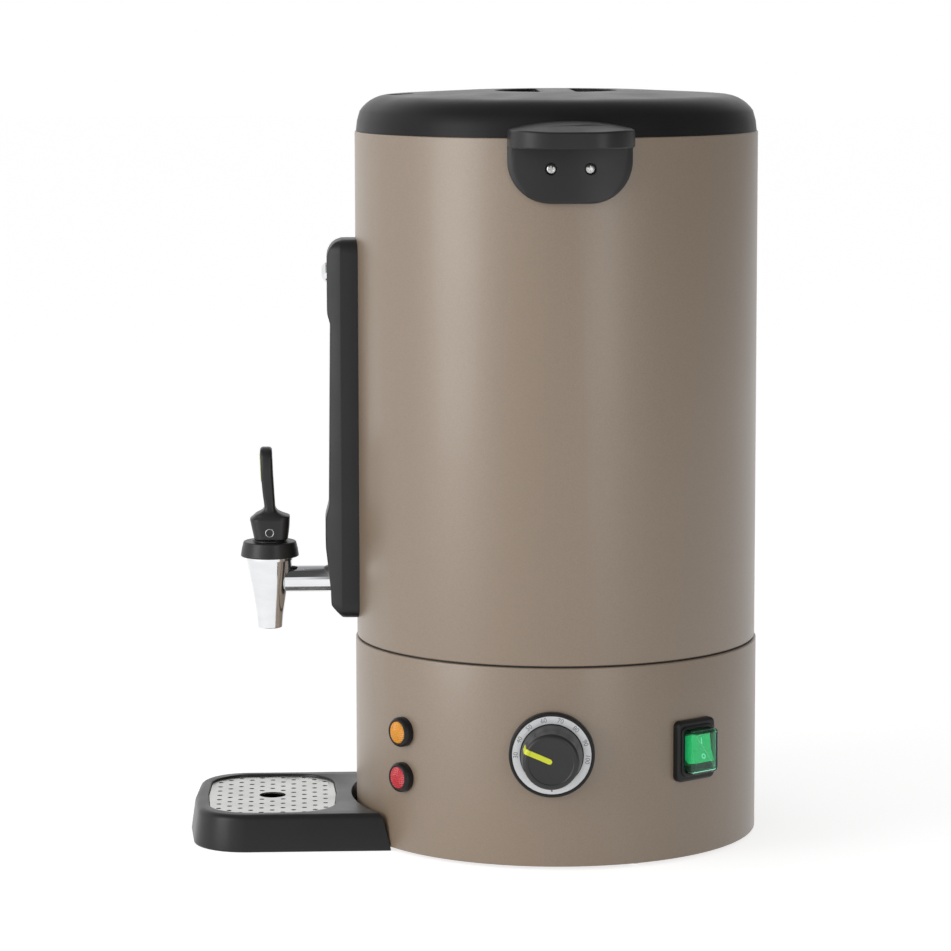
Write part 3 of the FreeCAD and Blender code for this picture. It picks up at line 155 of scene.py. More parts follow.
def inset(points, distance):
    """A closed outline moved inwards, with mitred corners."""
    area = sum(a[0] * b[1] - b[0] * a[1] for a, b in zip(points, points[1:] + points[:1]))
    side = math.copysign(1, area)
    moved = []
    for index, point in enumerate(points):
        here = Vector(point)
        before = (here - Vector(points[index - 1])).normalized()
        after = (Vector(points[(index + 1) % len(points)]) - here).normalized()
        first = Vector((-before.y, before.x)) * side
        second = Vector((-after.y, after.x)) * side
        moved.append(tuple(here + (first + second) * (distance / (1 + first.dot(second)))))
    return moved


def at_height(points, height):
    return [(x, y, height) for x, y in points]


def rounded_rectangle(width, height, corner):
    x = width / 2
    y = height / 2
    return filleted([(-x, -y, corner), (x, -y, corner), (x, y, corner), (-x, y, corner)])


def smooth_between(stations, value):
    """A value read from rows of numbers at a place between them, with eased slopes."""
    last = len(stations) - 1
    index = min(int(value), last - 1)
    part = value - index
    rows = [stations[max(index - 1, 0)], stations[index], stations[index + 1], stations[min(index + 2, last)]]
    result = []
    for a, b, c, d in zip(*rows):
        result.append(b + part * ((c - a) / 2 + part * (a - 2.5 * b + 2 * c - d / 2
                                                       + part * (1.5 * (b - c) + (d - a) / 2))))
    return result


# Meshes

def bridge(form, first, second):
    """Faces between two rings. A ring of one corner is a pole."""
    count = max(len(first), len(second))
    if count == 1:
        return
    for i in range(count):
        corners = [first[i % len(first)], first[(i + 1) % len(first)],
                   second[(i + 1) % len(second)], second[i % len(second)]]
        form.faces.new(list(dict.fromkeys(corners)))


def lathe(points, segments=128):
    """A closed outline of radius and height turned about Z."""
    form = bmesh.new()
    rings = []
    for radius, height in points:
        if radius < touching:
            rings.append([form.verts.new((0, 0, height))])
            continue
        angles = [math.tau * i / segments for i in range(segments)]
        rings.append([form.verts.new((radius * math.cos(a), radius * math.sin(a), height)) for a in angles])
    for index, ring in enumerate(rings):
        bridge(form, rings[index - 1], ring)
    bmesh.ops.recalc_face_normals(form, faces=form.faces)
    return form


def loft(rings):
    """A closed solid through rings of the same number of corners, capped at both ends."""
    form = bmesh.new()
    corners = [[form.verts.new(point) for point in ring] for ring in rings]
    for first, second in zip(corners, corners[1:]):
        bridge(form, first, second)
    form.faces.new(corners[0])
    form.faces.new(corners[-1])
    bmesh.ops.recalc_face_normals(form, faces=form.faces)
    return form


def rounded_slab(points, low, high, bottom_round, top_round, steps=5):
    """An outline raised between two heights, with its upper and lower edges rounded."""
    rings = []
    for i in range(steps + 1):
        angle = math.pi / 2 * i / steps
        away = bottom_round * (1 - math.sin(angle))
        rings.append(at_height(inset(points, away), low + bottom_round * (1 - math.cos(angle))))
    for i in range(steps + 1):
        angle = math.pi / 2 * i / steps
        away = top_round * (1 - math.cos(angle))
        rings.append(at_height(inset(points, away), high - top_round * (1 - math.sin(angle))))
    return loft(rings)


def cylinder(radius, low, high, segments=64):
    return lathe([(0, low), (radius, low), (radius, high), (0, high)], segments)


def box(low, high):
    form = bmesh.new()
    bmesh.ops.create_cube(form, size=1)
    size = Vector(high) - Vector(low)
    bmesh.ops.scale(form, vec=size, verts=form.verts)
    bmesh.ops.translate(form, vec=(Vector(high) + Vector(low)) / 2, verts=form.verts)
    return form


def moved(form, matrix):
    bmesh.ops.transform(form, matrix=matrix, verts=form.verts)
    return form


def outward(azimuth, height, reach=0.0):
    """The place that faces +Z outwards from the urn's axis, with +X to the right and +Y up."""
    turn = Matrix.Rotation(azimuth, 4, "Z")
    return turn @ Matrix.Translation((0, -reach, height)) @ Matrix.Rotation(math.pi / 2, 4, "X")


def facing(node):
    """The azimuth and height of a control's middle."""
    low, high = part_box(node)
    middle = (low + high) / 2
    return math.atan2(middle.x, -middle.y), middle.z


def temporary(form):
    mesh = bpy.data.meshes.new("working")
    form.to_mesh(mesh)
    form.free()
    holder = bpy.data.objects.new("working", mesh)
    bpy.context.scene.collection.objects.link(holder)
    return holder


def discard(*holders):
    for holder in holders:
        mesh = holder.data
        bpy.data.objects.remove(holder)
        if mesh.users == 0:
            bpy.data.meshes.remove(mesh)


def combined(form, tools, operation="DIFFERENCE"):
    """A form with other closed forms cut from it, joined to it or kept in common."""
    holder = temporary(form)
    cutters = [temporary(tool) for tool in tools]
    for cutter in cutters:
        change = holder.modifiers.new("combine", "BOOLEAN")
        change.operation = operation
        change.solver = "EXACT"
        change.object = cutter
    bpy.context.view_layer.update()
    evaluated = holder.evaluated_get(bpy.context.evaluated_depsgraph_get())
    result = bmesh.new()
    result.from_mesh(evaluated.to_mesh())
    evaluated.to_mesh_clear()
    discard(holder, *cutters)
    bmesh.ops.remove_doubles(result, verts=result.verts, dist=touching)
    return result


def softened(form, width, chosen=None, segments=2):
    """The form with its sharp edges rounded, or those that a test picks by their middle."""
    sharp = []
    for edge in form.edges:
        if len(edge.link_faces) == 2 and edge.calc_face_angle(0.0) > crease_angle:
            middle = (edge.verts[0].co + edge.verts[1].co) / 2
            if chosen is None or chosen(middle):
                sharp.append(edge)
    bmesh.ops.bevel(form, geom=sharp, offset=width, segments=segments, profile=0.5,
                    affect="EDGES", clamp_overlap=True)
    return form


def settle(piece, body, slot, nodes):
    """Put a finished piece on its body with its finish, and hide the solids it stands for."""
    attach(piece, body)
    if nodes:
        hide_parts(*nodes)
    piece.data.materials.clear()
    piece.data.materials.append(bpy.data.materials[finish_name(slot)])
    return piece


def add_piece(name, form, body, slot, nodes=(), angle=crease_angle):
    mesh = bpy.data.meshes.new(name)
    for face in form.faces:
        face.smooth = True
    form.to_mesh(mesh)
    form.free()
    mesh.set_sharp_from_angle(angle=angle)
    piece = bpy.data.objects.new(name, mesh)
    bpy.context.scene.collection.objects.link(piece)
    return settle(piece, body, slot, nodes)


# Nodes

def node(tree, kind, *feeds, **settings):
    """Add a node. A feed is an input's name or number with a value or with another node's output."""
    made = tree.nodes.new(kind)
    for key, value in settings.items():
        setattr(made, key, value)
    for place, value in feeds:
        if isinstance(value, bpy.types.NodeSocket):
            tree.links.new(value, made.inputs[place])
        else:
            made.inputs[place].default_value = value
    return made


def maths(tree, operation, *values):
    return node(tree, "ShaderNodeMath", *enumerate(values), operation=operation).outputs[0]


def ranged(tree, value, from_low, from_high, to_low, to_high):
    feeds = (("Value", value), ("From Min", from_low), ("From Max", from_high), ("To Min", to_low), ("To Max", to_high))
    return node(tree, "ShaderNodeMapRange", *feeds).outputs["Result"]


def open_group(name, inputs, outputs):
    """A shader group with named inputs and outputs, or None when it is there already."""
    if name in bpy.data.node_groups:
        return None
    tree = bpy.data.node_groups.new(name, "ShaderNodeTree")
    for label, value in inputs:
        tree.interface.new_socket(label, in_out="INPUT", socket_type="NodeSocketFloat").default_value = value
    for label, kind in outputs:
        tree.interface.new_socket(label, in_out="OUTPUT", socket_type=kind)
    return tree


def grain_group():
    """Fine moulding grain with broad handling marks: a roughness and a normal."""
    tree = open_group("moulded_grain", [("Grain Scale", 1500.0), ("Grain Depth", 0.2), ("Smooth", 0.35), ("Dull", 0.45)],
                      [("Roughness", "NodeSocketFloat"), ("Normal", "NodeSocketVector")])
    if tree is None:
        return
    given = tree.nodes.new("NodeGroupInput")
    result = tree.nodes.new("NodeGroupOutput")
    place = node(tree, "ShaderNodeTexCoord").outputs["Object"]
    grain = node(tree, "ShaderNodeTexNoise", ("Vector", place), ("Scale", given.outputs["Grain Scale"]),
                 ("Detail", 2.0)).outputs["Fac"]
    marks = node(tree, "ShaderNodeTexNoise", ("Vector", place), ("Scale", 28.0), ("Detail", 5.0),
                 ("Roughness", 0.6)).outputs["Fac"]
    dull = ranged(tree, marks, 0.3, 0.7, given.outputs["Smooth"], given.outputs["Dull"])
    bump = node(tree, "ShaderNodeBump", ("Strength", given.outputs["Grain Depth"]), ("Distance", 0.00008),
                ("Height", grain)).outputs["Normal"]
    tree.links.new(dull, result.inputs["Roughness"])
    tree.links.new(bump, result.inputs["Normal"])


def flake_group():
    """Metal flake and slight orange peel under a satin lacquer: a mask, a roughness and a normal."""
    tree = open_group("paint_flake", [("Flake Scale", 2600.0), ("Peel Depth", 0.15), ("Smooth", 0.36), ("Dull", 0.42)],
                      [("Mask", "NodeSocketFloat"), ("Roughness", "NodeSocketFloat"), ("Normal", "NodeSocketVector")])
    if tree is None:
        return
    given = tree.nodes.new("NodeGroupInput")
    result = tree.nodes.new("NodeGroupOutput")
    place = node(tree, "ShaderNodeTexCoord").outputs["Object"]
    flake = node(tree, "ShaderNodeTexVoronoi", ("Vector", place), ("Scale", given.outputs["Flake Scale"])).outputs["Color"]
    shine = node(tree, "ShaderNodeSeparateColor", ("Color", flake)).outputs["Red"]
    peel = node(tree, "ShaderNodeTexNoise", ("Vector", place), ("Scale", 420.0), ("Detail", 1.0)).outputs["Fac"]
    bump = node(tree, "ShaderNodeBump", ("Strength", given.outputs["Peel Depth"]), ("Distance", 0.00006),
                ("Height", peel)).outputs["Normal"]
    marks = node(tree, "ShaderNodeTexNoise", ("Vector", place), ("Scale", 9.0), ("Detail", 4.0)).outputs["Fac"]
    dull = ranged(tree, marks, 0.3, 0.7, given.outputs["Smooth"], given.outputs["Dull"])
    tree.links.new(shine, result.inputs["Mask"])
    tree.links.new(dull, result.inputs["Roughness"])
    tree.links.new(bump, result.inputs["Normal"])


def brushed_group():
    """Fine lines along the long side of a stretched noise: a mask, a roughness and a normal."""
    tree = open_group("brushed_lines", [("Across", 900.0), ("Along", 40.0), ("Line Depth", 0.2), ("Smooth", 0.2),
                                        ("Dull", 0.35)],
                      [("Mask", "NodeSocketFloat"), ("Roughness", "NodeSocketFloat"), ("Normal", "NodeSocketVector")])
    if tree is None:
        return
    given = tree.nodes.new("NodeGroupInput")
    result = tree.nodes.new("NodeGroupOutput")
    place = node(tree, "ShaderNodeTexCoord").outputs["Object"]
    apart = node(tree, "ShaderNodeSeparateXYZ", ("Vector", place))
    scaled = node(tree, "ShaderNodeCombineXYZ",
                  ("X", maths(tree, "MULTIPLY", apart.outputs["X"], given.outputs["Along"])),
                  ("Y", maths(tree, "MULTIPLY", apart.outputs["Y"], given.outputs["Along"])),
                  ("Z", maths(tree, "MULTIPLY", apart.outputs["Z"], given.outputs["Across"]))).outputs["Vector"]
    lines = node(tree, "ShaderNodeTexNoise", ("Vector", scaled), ("Scale", 1.0), ("Detail", 3.0)).outputs["Fac"]
    dull = ranged(tree, lines, 0.3, 0.7, given.outputs["Smooth"], given.outputs["Dull"])
    bump = node(tree, "ShaderNodeBump", ("Strength", given.outputs["Line Depth"]), ("Distance", 0.00005),
                ("Height", lines)).outputs["Normal"]
    tree.links.new(lines, result.inputs["Mask"])
    tree.links.new(dull, result.inputs["Roughness"])
    tree.links.new(bump, result.inputs["Normal"])


def finish_name(slot):
    return slot + "_finish"


def open_finish(slot, **values):
    """A new material with one Principled shader, whose steady values stand on its own sockets."""
    material = bpy.data.materials.new(finish_name(slot))
    material.use_nodes = True
    shader = material.node_tree.nodes["Principled BSDF"]
    for label, value in values.items():
        shader.inputs[label.replace("_", " ")].default_value = value
    return material.node_tree, shader


def place_group(tree, shader, name, values, feeds=("Roughness", "Normal")):
    group = node(tree, "ShaderNodeGroup", node_tree=bpy.data.node_groups[name])
    for label, value in values.items():
        group.inputs[label].default_value = value
    for label in feeds:
        tree.links.new(group.outputs[label], shader.inputs[label])
    return group


def two_tone(tree, shader, mask, first, second):
    """Base colour that wanders between two shades with a mask."""
    mix = node(tree, "ShaderNodeMix", (0, mask), (6, (*first, 1)), (7, (*second, 1)), data_type="RGBA")
    tree.links.new(mix.outputs[2], shader.inputs["Base Color"])


def shade(colour, factor):
    return tuple(min(1.0, channel * factor) for channel in colour)


def plastic_finish(slot, colour, smooth, dull, scale=1500.0, depth=0.2, **values):
    tree, shader = open_finish(slot, **values)
    place_group(tree, shader, "moulded_grain",
                {"Grain Scale": scale, "Grain Depth": depth, "Smooth": smooth, "Dull": dull})
    place = node(tree, "ShaderNodeTexCoord").outputs["Object"]
    cloud = node(tree, "ShaderNodeTexNoise", ("Vector", place), ("Scale", 60.0), ("Detail", 4.0)).outputs["Fac"]
    two_tone(tree, shader, cloud, shade(colour, 0.86), shade(colour, 1.14))


def metal_finish(slot, colour, smooth, dull, across=900.0, along=40.0, depth=0.15, **values):
    tree, shader = open_finish(slot, Metallic=1.0, **values)
    group = place_group(tree, shader, "brushed_lines",
                        {"Across": across, "Along": along, "Line Depth": depth, "Smooth": smooth, "Dull": dull})
    two_tone(tree, shader, group.outputs["Mask"], shade(colour, 0.92), shade(colour, 1.06))


def clear_finish(slot, colour, smooth, dull, **values):
    tree, shader = open_finish(slot, Base_Color=(*colour, 1), **values)
    place_group(tree, shader, "moulded_grain",
                {"Grain Scale": 700.0, "Grain Depth": 0.04, "Smooth": smooth, "Dull": dull})
    return tree, shader


def lit_finish(slot, colour, glow, **values):
    """Coloured clear plastic with a light behind it: brighter where the facets gather it."""
    tree, shader = clear_finish(slot, colour, 0.12, 0.2, Emission_Strength=glow, **values)
    place = node(tree, "ShaderNodeTexCoord").outputs["Object"]
    cells = node(tree, "ShaderNodeTexVoronoi", ("Vector", place), ("Scale", 900.0)).outputs["Distance"]
    mix = node(tree, "ShaderNodeMix", (0, cells), (6, (*shade(colour, 1.15), 1)), (7, (*shade(colour, 0.6), 1)),
               data_type="RGBA")
    tree.links.new(mix.outputs[2], shader.inputs["Emission Color"])


def paint_finish(slot, colour):
    tree, shader = open_finish(slot, Metallic=0.0, Specular_IOR_Level=0.9, Coat_Weight=0.5, Coat_Roughness=0.34)
    group = place_group(tree, shader, "paint_flake",
                        {"Flake Scale": 2600.0, "Peel Depth": 0.12, "Smooth": 0.4, "Dull": 0.46})
    two_tone(tree, shader, group.outputs["Mask"], shade(colour, 0.9), shade(colour, 1.1))


class UrnColours(bpy.types.PropertyGroup):
    """Colours of the urn's finishes."""

    def colour(label, words, *value):
        return FloatVectorProperty(name=label, description=words, subtype="COLOR", size=3, min=0, max=1,
                                   default=srgb(*value))

    paint: colour("Paint", "Satin paint of the body and the base", 140, 121, 101)
    plastic: colour("Black plastic", "Moulded lid, handles, tray and tap", 30, 30, 31)
    accent: colour("Accent", "Pointer of the dial and pad of the lever", 232, 238, 60)
    steel: colour("Steel", "Tank, grille and fasteners", 200, 200, 198)
    chrome: colour("Plating", "Bright plating of the tap", 228, 229, 231)
    amber: colour("Amber lens", "Lens of the upper lamp", 226, 150, 32)
    red: colour("Red lens", "Lens of the lower lamp", 196, 40, 52)
    green: colour("Green rocker", "Lit rocker of the switch", 54, 188, 128)


class UrnSizes(bpy.types.PropertyGroup):
    """Sizes of details that the solids leave plain."""

    lid_edge_round: FloatProperty(name="Pocket edge", description="Rounding of the lid's finger pockets",
                                  default=1.2 * mm, unit="LENGTH")
    hole_radius: FloatProperty(name="Hole radius", description="Radius of the grille's round holes",
                               default=1.75 * mm, unit="LENGTH")
    hole_columns: IntProperty(name="Hole columns", description="Columns of holes across the grille", default=11)
    column_step: FloatProperty(name="Column step", description="Distance between two columns of holes",
                               default=7.2 * mm, unit="LENGTH")
    row_step: FloatProperty(name="Row step", description="Distance between two holes of a column",
                            default=13.8 * mm, unit="LENGTH")
    facet: FloatProperty(name="Lens facet", description="Pitch of the facets on the lamp lenses",
                         default=1.45 * mm, unit="LENGTH")
    numeral: FloatProperty(name="Numeral height", description="Height of the numbers round the dial",
                           default=3.1 * mm, unit="LENGTH")


class UrnOperator:
    """What the urn's operators share."""

    bl_options = {"REGISTER", "UNDO"}

    def execute(self, context):
        self.make(context.scene.urn_sizes, context.scene.urn_colours)
        return {"FINISHED"}


class URN_OT_finishes(UrnOperator, bpy.types.Operator):
    """Make the urn's materials and give them to the solids that stay in view."""

    bl_idname = "urn.finishes"
    bl_label = "Finishes"

    def make(self, sizes, colours):
        grain_group()
        flake_group()
        brushed_group()
        black = tuple(colours.plastic)
        steel = tuple(colours.steel)
        paint_finish("body_paint", tuple(colours.paint))
        plastic_finish("lid_black", black, 0.3, 0.38, scale=1200.0, depth=0.12, Specular_IOR_Level=0.15)
        plastic_finish("handle_black", black, 0.36, 0.46, Specular_IOR_Level=0.38)
        plastic_finish("tap_black", shade(black, 0.9), 0.34, 0.44, Specular_IOR_Level=0.44)
        plastic_finish("tray_black", black, 0.3, 0.38, depth=0.12, Specular_IOR_Level=0.34)
        plastic_finish("trim_black", shade(black, 0.7), 0.3, 0.4, Specular_IOR_Level=0.3)
        plastic_finish("knob_black", shade(black, 1.1), 0.32, 0.42, depth=0.12)
        plastic_finish("gauge_inner", shade(black, 1.6), 0.4, 0.5)
        plastic_finish("cutout_body", shade(black, 2.4), 0.4, 0.5)
        plastic_finish("foot_rubber", shade(black, 0.9), 0.7, 0.85, scale=700.0, depth=0.4)
        plastic_finish("seal_silicone", shade(black, 0.7), 0.6, 0.75, scale=600.0, depth=0.3)
        plastic_finish("lime_plastic", tuple(colours.accent), 0.35, 0.45, depth=0.1)
        metal_finish("tank_steel", steel, 0.22, 0.36)
        metal_finish("floor_steel", shade(steel, 0.8), 0.3, 0.45)
        metal_finish("screws_steel", shade(steel, 0.85), 0.2, 0.32, across=1800.0)
        metal_finish("nuts_steel", shade(steel, 0.75), 0.25, 0.4, across=1800.0)
        metal_finish("heater_aluminium", shade(steel, 0.9), 0.3, 0.45, across=300.0, along=300.0)
        metal_finish("element_steel", shade(steel, 0.55), 0.3, 0.45, across=600.0)
        metal_finish("chrome_plate", tuple(colours.chrome), 0.05, 0.09, across=200.0, along=60.0, depth=0.01)
        metal_finish("scale_silver", srgb(226, 227, 229), 0.34, 0.48, across=1500.0, along=1500.0, depth=0.35)
        bpy.data.materials[finish_name("scale_silver")].node_tree.nodes["Principled BSDF"].inputs["Metallic"].default_value = 0.35
        plastic_finish("dial_print", srgb(128, 130, 134), 0.4, 0.5)
        lit_finish("lens_amber", tuple(colours.amber), 0.07)
        lit_finish("lens_red", tuple(colours.red), 0.08)
        lit_finish("rocker_green", tuple(colours.green), 0.75)
        clear_finish("boot_clear_green", srgb(150, 232, 200), 0.06, 0.12, Transmission_Weight=1.0, IOR=1.42)
        clear_finish("gauge_glass", (0.95, 0.98, 0.97), 0.02, 0.04, Transmission_Weight=1.0, IOR=1.47)
        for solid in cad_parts.values():
            for holder in solid.material_slots:
                holder.material = bpy.data.materials[finish_name(holder.material.name.split(".")[0])]


class URN_OT_shells(UrnOperator, bpy.types.Operator):
    """Make the painted body and base with folded edges."""

    bl_idname = "urn.shells"
    bl_label = "Body and base"

    def make(self, sizes, colours):
        opening = body_radius - 6.2 * mm
        seam_hole = body_radius - 13.0 * mm
        low = body_low.z
        thin = sheet * 0.3
        body = filleted([(body_radius, low, folded_edge), (body_radius, rim, folded_edge),
                         (opening, rim, thin), (opening, rim - sheet, thin),
                         (body_radius - sheet, rim - sheet, 0), (body_radius - sheet, low + sheet, 0),
                         (seam_hole, low + sheet, thin), (seam_hole, low, thin)])
        add_piece("body_jacket", lathe(body, 256), "housing", "body_paint", ["body_shell"])
        wall = 1.2 * mm
        floor_hole = base_radius - wall - 11.0 * mm
        base = filleted([(base_radius, base_low.z, folded_edge), (base_radius, base_top, folded_edge),
                         (seam_hole, base_top, thin), (seam_hole, base_top - wall, thin),
                         (base_radius - wall, base_top - wall, 0), (base_radius - wall, base_low.z + wall, 0),
                         (floor_hole, base_low.z + wall, thin), (floor_hole, base_low.z, thin)])
        add_piece("base_jacket", lathe(base, 256), "housing", "body_paint", ["base_shell"])


class URN_OT_lid(UrnOperator, bpy.types.Operator):
    """Make the lid with its two finger pockets, the bar between them and the steam vent."""

    bl_idname = "urn.lid"
    bl_label = "Lid"

    well_radius = 41.0 * mm
    well_depth = 23.0 * mm
    half_bar = 11.0 * mm
    floor_round = 5.0 * mm
    corner_round = 3.0 * mm
    vent_circle = 104.0 * mm
    vent_radius = 9.0 * mm

    def dome(self, away, low):
        """The lid's outside profile, or the inside one some way in, from the axis to the skirt."""
        edge = lid_edge - away
        top = lid_top - away
        crown = top - 3.0 * mm
        return outline((0, low), (edge, low), ((edge - 0.9 * mm, rim + 7.4 * mm), (edge - 2.6 * mm, crown - 10.7 * mm)),
                       ((edge - 8.7 * mm, crown - 4.4 * mm), (edge - 22.2 * mm, crown)),
                       ((edge / 2, top - 0.75 * mm), (20.0 * mm, top)), (0, top))

    def pocket_ring(self, away, height):
        radius = self.well_radius - away
        near = self.half_bar + away
        start = math.asin(near / radius)
        count = 20
        arc = [start + (math.pi - 2 * start) * i / count for i in range(1, count)]
        corners = [(-radius * math.cos(start), near, self.corner_round), (radius * math.cos(start), near, self.corner_round)]
        return at_height(filleted(corners + [(radius * math.cos(a), radius * math.sin(a), 0) for a in arc]), height)

    def pocket(self, edge_round):
        floor = lid_top - self.well_depth
        rings = []
        steps = 5
        for i in range(steps + 1):
            angle = math.pi / 2 * i / steps
            away = self.floor_round * (1 - math.sin(angle))
            rings.append(self.pocket_ring(away, floor + self.floor_round * (1 - math.cos(angle))))
        brim = lid_top - 0.15 * mm
        for i in range(steps + 1):
            angle = math.pi / 2 * i / steps
            rings.append(self.pocket_ring(-edge_round * (1 - math.cos(angle)), brim - edge_round * (1 - math.sin(angle))))
        rings.append(self.pocket_ring(-edge_round * 1.3, brim + 2 * mm))
        return loft(rings)

    def make(self, sizes, colours):
        low = lid_low.z + 11.2 * mm if lid_low.z < rim - mm else lid_low.z
        cup = self.well_radius + lid_wall
        cup_floor = lid_top - self.well_depth - lid_wall
        inner = self.dome(lid_wall, low)
        under = [point for point in inner if point[0] > cup and point[1] > low]
        under = [(inner[1][0], low)] + under
        outer = self.dome(0, low)[1:]
        shell = lathe([(0, cup_floor), (cup, cup_floor), (cup, under[-1][1])] + under[::-1] + outer, 192)
        pocket = self.pocket(sizes.lid_edge_round)
        mirrored = moved(pocket.copy(), Matrix.Rotation(math.pi, 4, "Z"))
        crown = lid_top - 3.8 * mm
        dish = moved(cylinder(self.vent_radius, crown, lid_top + mm), Matrix.Translation((0, -self.vent_circle, 0)))
        tools = [pocket, mirrored, dish]
        slot_half = mm
        for index in (-1, 0, 1):
            across = index * self.vent_radius * 0.55
            length = self.vent_radius * 0.65
            tools.append(box((across - slot_half, -self.vent_circle - length, rim + 10 * mm),
                             (across + slot_half, -self.vent_circle + length, lid_top)))
        lid = softened(combined(shell, tools), small_round,
                       lambda middle: (middle.xy - Vector((0, -self.vent_circle))).length < self.vent_radius * 1.2)
        add_piece("lid_dome", lid, "lid", "lid_black", ["lid_shell"])


class URN_OT_handles(UrnOperator, bpy.types.Operator):
    """Make the two ledge handles and their cross-head screws."""

    bl_idname = "urn.handles"
    bl_label = "Handles"

    plate = 4.5 * mm
    skin = 4.0 * mm
    half = 40.05 * mm
    lip_drop = 5.3 * mm
    plate_drop = 41.4 * mm
    plate_corner = 27.0 * mm
    ledge_corner = 27.0 * mm
    edge_round = 1.4 * mm
    screw_spread = 12.2 * mm
    screw_drop = 19.4 * mm
    head_radius = 3.6 * mm
    recess_depth = 2.2 * mm

    def crown(self, across, reach):
        """Height of the ledge's upper side, which rises towards the body and is arched from side to side."""
        nose = handle_high.x - self.edge_round
        part = min(1.0, max(0.0, nose - reach) / (nose - body_radius))
        side = min(1.0, abs(across) / self.half)
        return rim + (5.4 + (9.0 * part - 3.4 * part * part) * (1 - 0.9 * side ** 2.2)) * mm

    def ledge_ring(self, away, back, height):
        """One ring of the ledge in plan. The height is a number or a function of the place."""
        half = self.half - away
        front = handle_high.x - away
        bow = 0.6 * mm
        wall = math.sqrt(back * back - half * half)
        corner = min(max(mm, self.ledge_corner - away), 0.9 * (front - bow - wall))
        gentle = 0.9 * (half - corner) * half / bow
        points = filleted([(-half, -wall, 0), (-half, -front + bow, corner), (0, -front, gentle),
                           (half, -front + bow, corner), (half, -wall, 0)], turn_step)
        count = 24
        for i in range(1, count):
            across = half - 2 * half * i / count
            points.append((across, -math.sqrt(back * back - across * across)))
        return [(x, y, height(x, -y) if callable(height) else height) for x, y in points]

    def under_crown(self, drop):
        """Heights at a depth below the upper side."""
        return lambda across, reach: self.crown(across, reach) - drop

    def ledge(self):
        back = body_radius + 0.05 * mm
        inside = back + self.plate
        lip = rim - self.lip_drop
        rings = []
        for away in (17.5 * mm, 14 * mm, 10.5 * mm, 7 * mm, 4 * mm, 2.5 * mm):
            rings.append(self.ledge_ring(away, back + away - self.edge_round, self.crown))
        steps = 6
        for i in range(steps + 1):
            angle = math.pi / 2 * (1 - i / steps)
            away = self.edge_round * (1 - math.cos(angle))
            rings.append(self.ledge_ring(away, back, self.under_crown(self.edge_round * (1 - math.sin(angle)))))
        rings.append(self.ledge_ring(0, back, lip + 0.8 * mm))
        rings.append(self.ledge_ring(0.8 * mm, back, lip))
        rings.append(self.ledge_ring(self.skin - 0.6 * mm, inside, lip))
        rings.append(self.ledge_ring(self.skin, inside, lip + 0.6 * mm))
        rings.append(self.ledge_ring(self.skin, inside, self.under_crown(6.0 * mm)))
        rings.append(self.ledge_ring(self.skin + mm, inside, self.under_crown(4.6 * mm)))
        for further in (0, 4 * mm, 8 * mm, 11 * mm):
            rings.append(self.ledge_ring(self.skin + 4 * mm + further, inside + further, self.under_crown(self.skin)))
        return loft(rings)

    def plate_ring(self, height, half, depth):
        """One level section of the plate: a bar bent round the body, with its outer corners rounded."""
        inner = body_radius + 0.05 * mm
        count = 32
        edge = min(1.2 * mm, depth * 0.9)
        ring = []
        for i in range(count + 1):
            across = half * (2 * i / count - 1)
            to_end = half - abs(across)
            lift = depth
            if to_end < edge:
                lift = depth - edge + math.sqrt(edge * edge - (edge - to_end) ** 2)
            ring.append((across, -math.sqrt(inner * inner - across * across) - lift, height))
        for i in range(count + 1):
            across = half * (1 - 2 * i / count)
            ring.append((across, -math.sqrt(inner * inner - across * across), height))
        return ring

    def wall_plate(self):
        bottom = rim - self.plate_drop
        top = rim - self.lip_drop + 1.5 * mm
        rings = []
        corner = self.plate_corner
        steps = 14
        edge = 1.2 * mm
        for i in range(steps + 1):
            angle = math.pi / 2 * i / steps
            rise = corner * (1 - math.cos(angle))
            half = self.half - corner + corner * math.sin(angle)
            depth = self.plate
            if rise < edge:
                depth = self.plate - edge + math.sqrt(edge * edge - (edge - rise) ** 2)
            rings.append(self.plate_ring(bottom + rise, max(half, self.half - corner + mm), depth))
        rings.append(self.plate_ring(top, self.half, self.plate))
        return loft(rings)

    def screw_azimuths(self):
        turn = math.asin(self.screw_spread / body_radius)
        return -turn, turn

    def make(self, sizes, colours):
        front = body_radius + self.plate
        tools = []
        for azimuth in self.screw_azimuths():
            seat = front - self.recess_depth
            well = lathe(outline((0, seat), (self.head_radius + 0.2 * mm, seat), (self.head_radius + 0.2 * mm, front - 0.5 * mm),
                                 (self.head_radius + 0.9 * mm, front + 0.4 * mm), (self.head_radius + 0.9 * mm, front + 3 * mm),
                                 (0, front + 3 * mm)), 48)
            tools.append(moved(well, outward(azimuth, rim - self.screw_drop)))
        handle = combined(combined(self.ledge(), [self.wall_plate()], "UNION"), tools)
        for name, side in (("right", math.pi / 2), ("left", -math.pi / 2)):
            turned = moved(handle.copy(), Matrix.Rotation(side, 4, "Z"))
            add_piece("handle_grip_" + name, turned, "housing", "handle_black", ["handle_" + name])
        handle.free()
        places = []
        for side in (math.pi / 2, -math.pi / 2):
            for azimuth in self.screw_azimuths():
                reach = front - self.recess_depth
                places.append(outward(side + azimuth, rim - self.screw_drop, reach))
        add_screws("handle_cross_screws", places, "housing", ["handle_screws"], self.head_radius, 1.8 * mm, 2.0 * mm,
                   6.8 * mm)


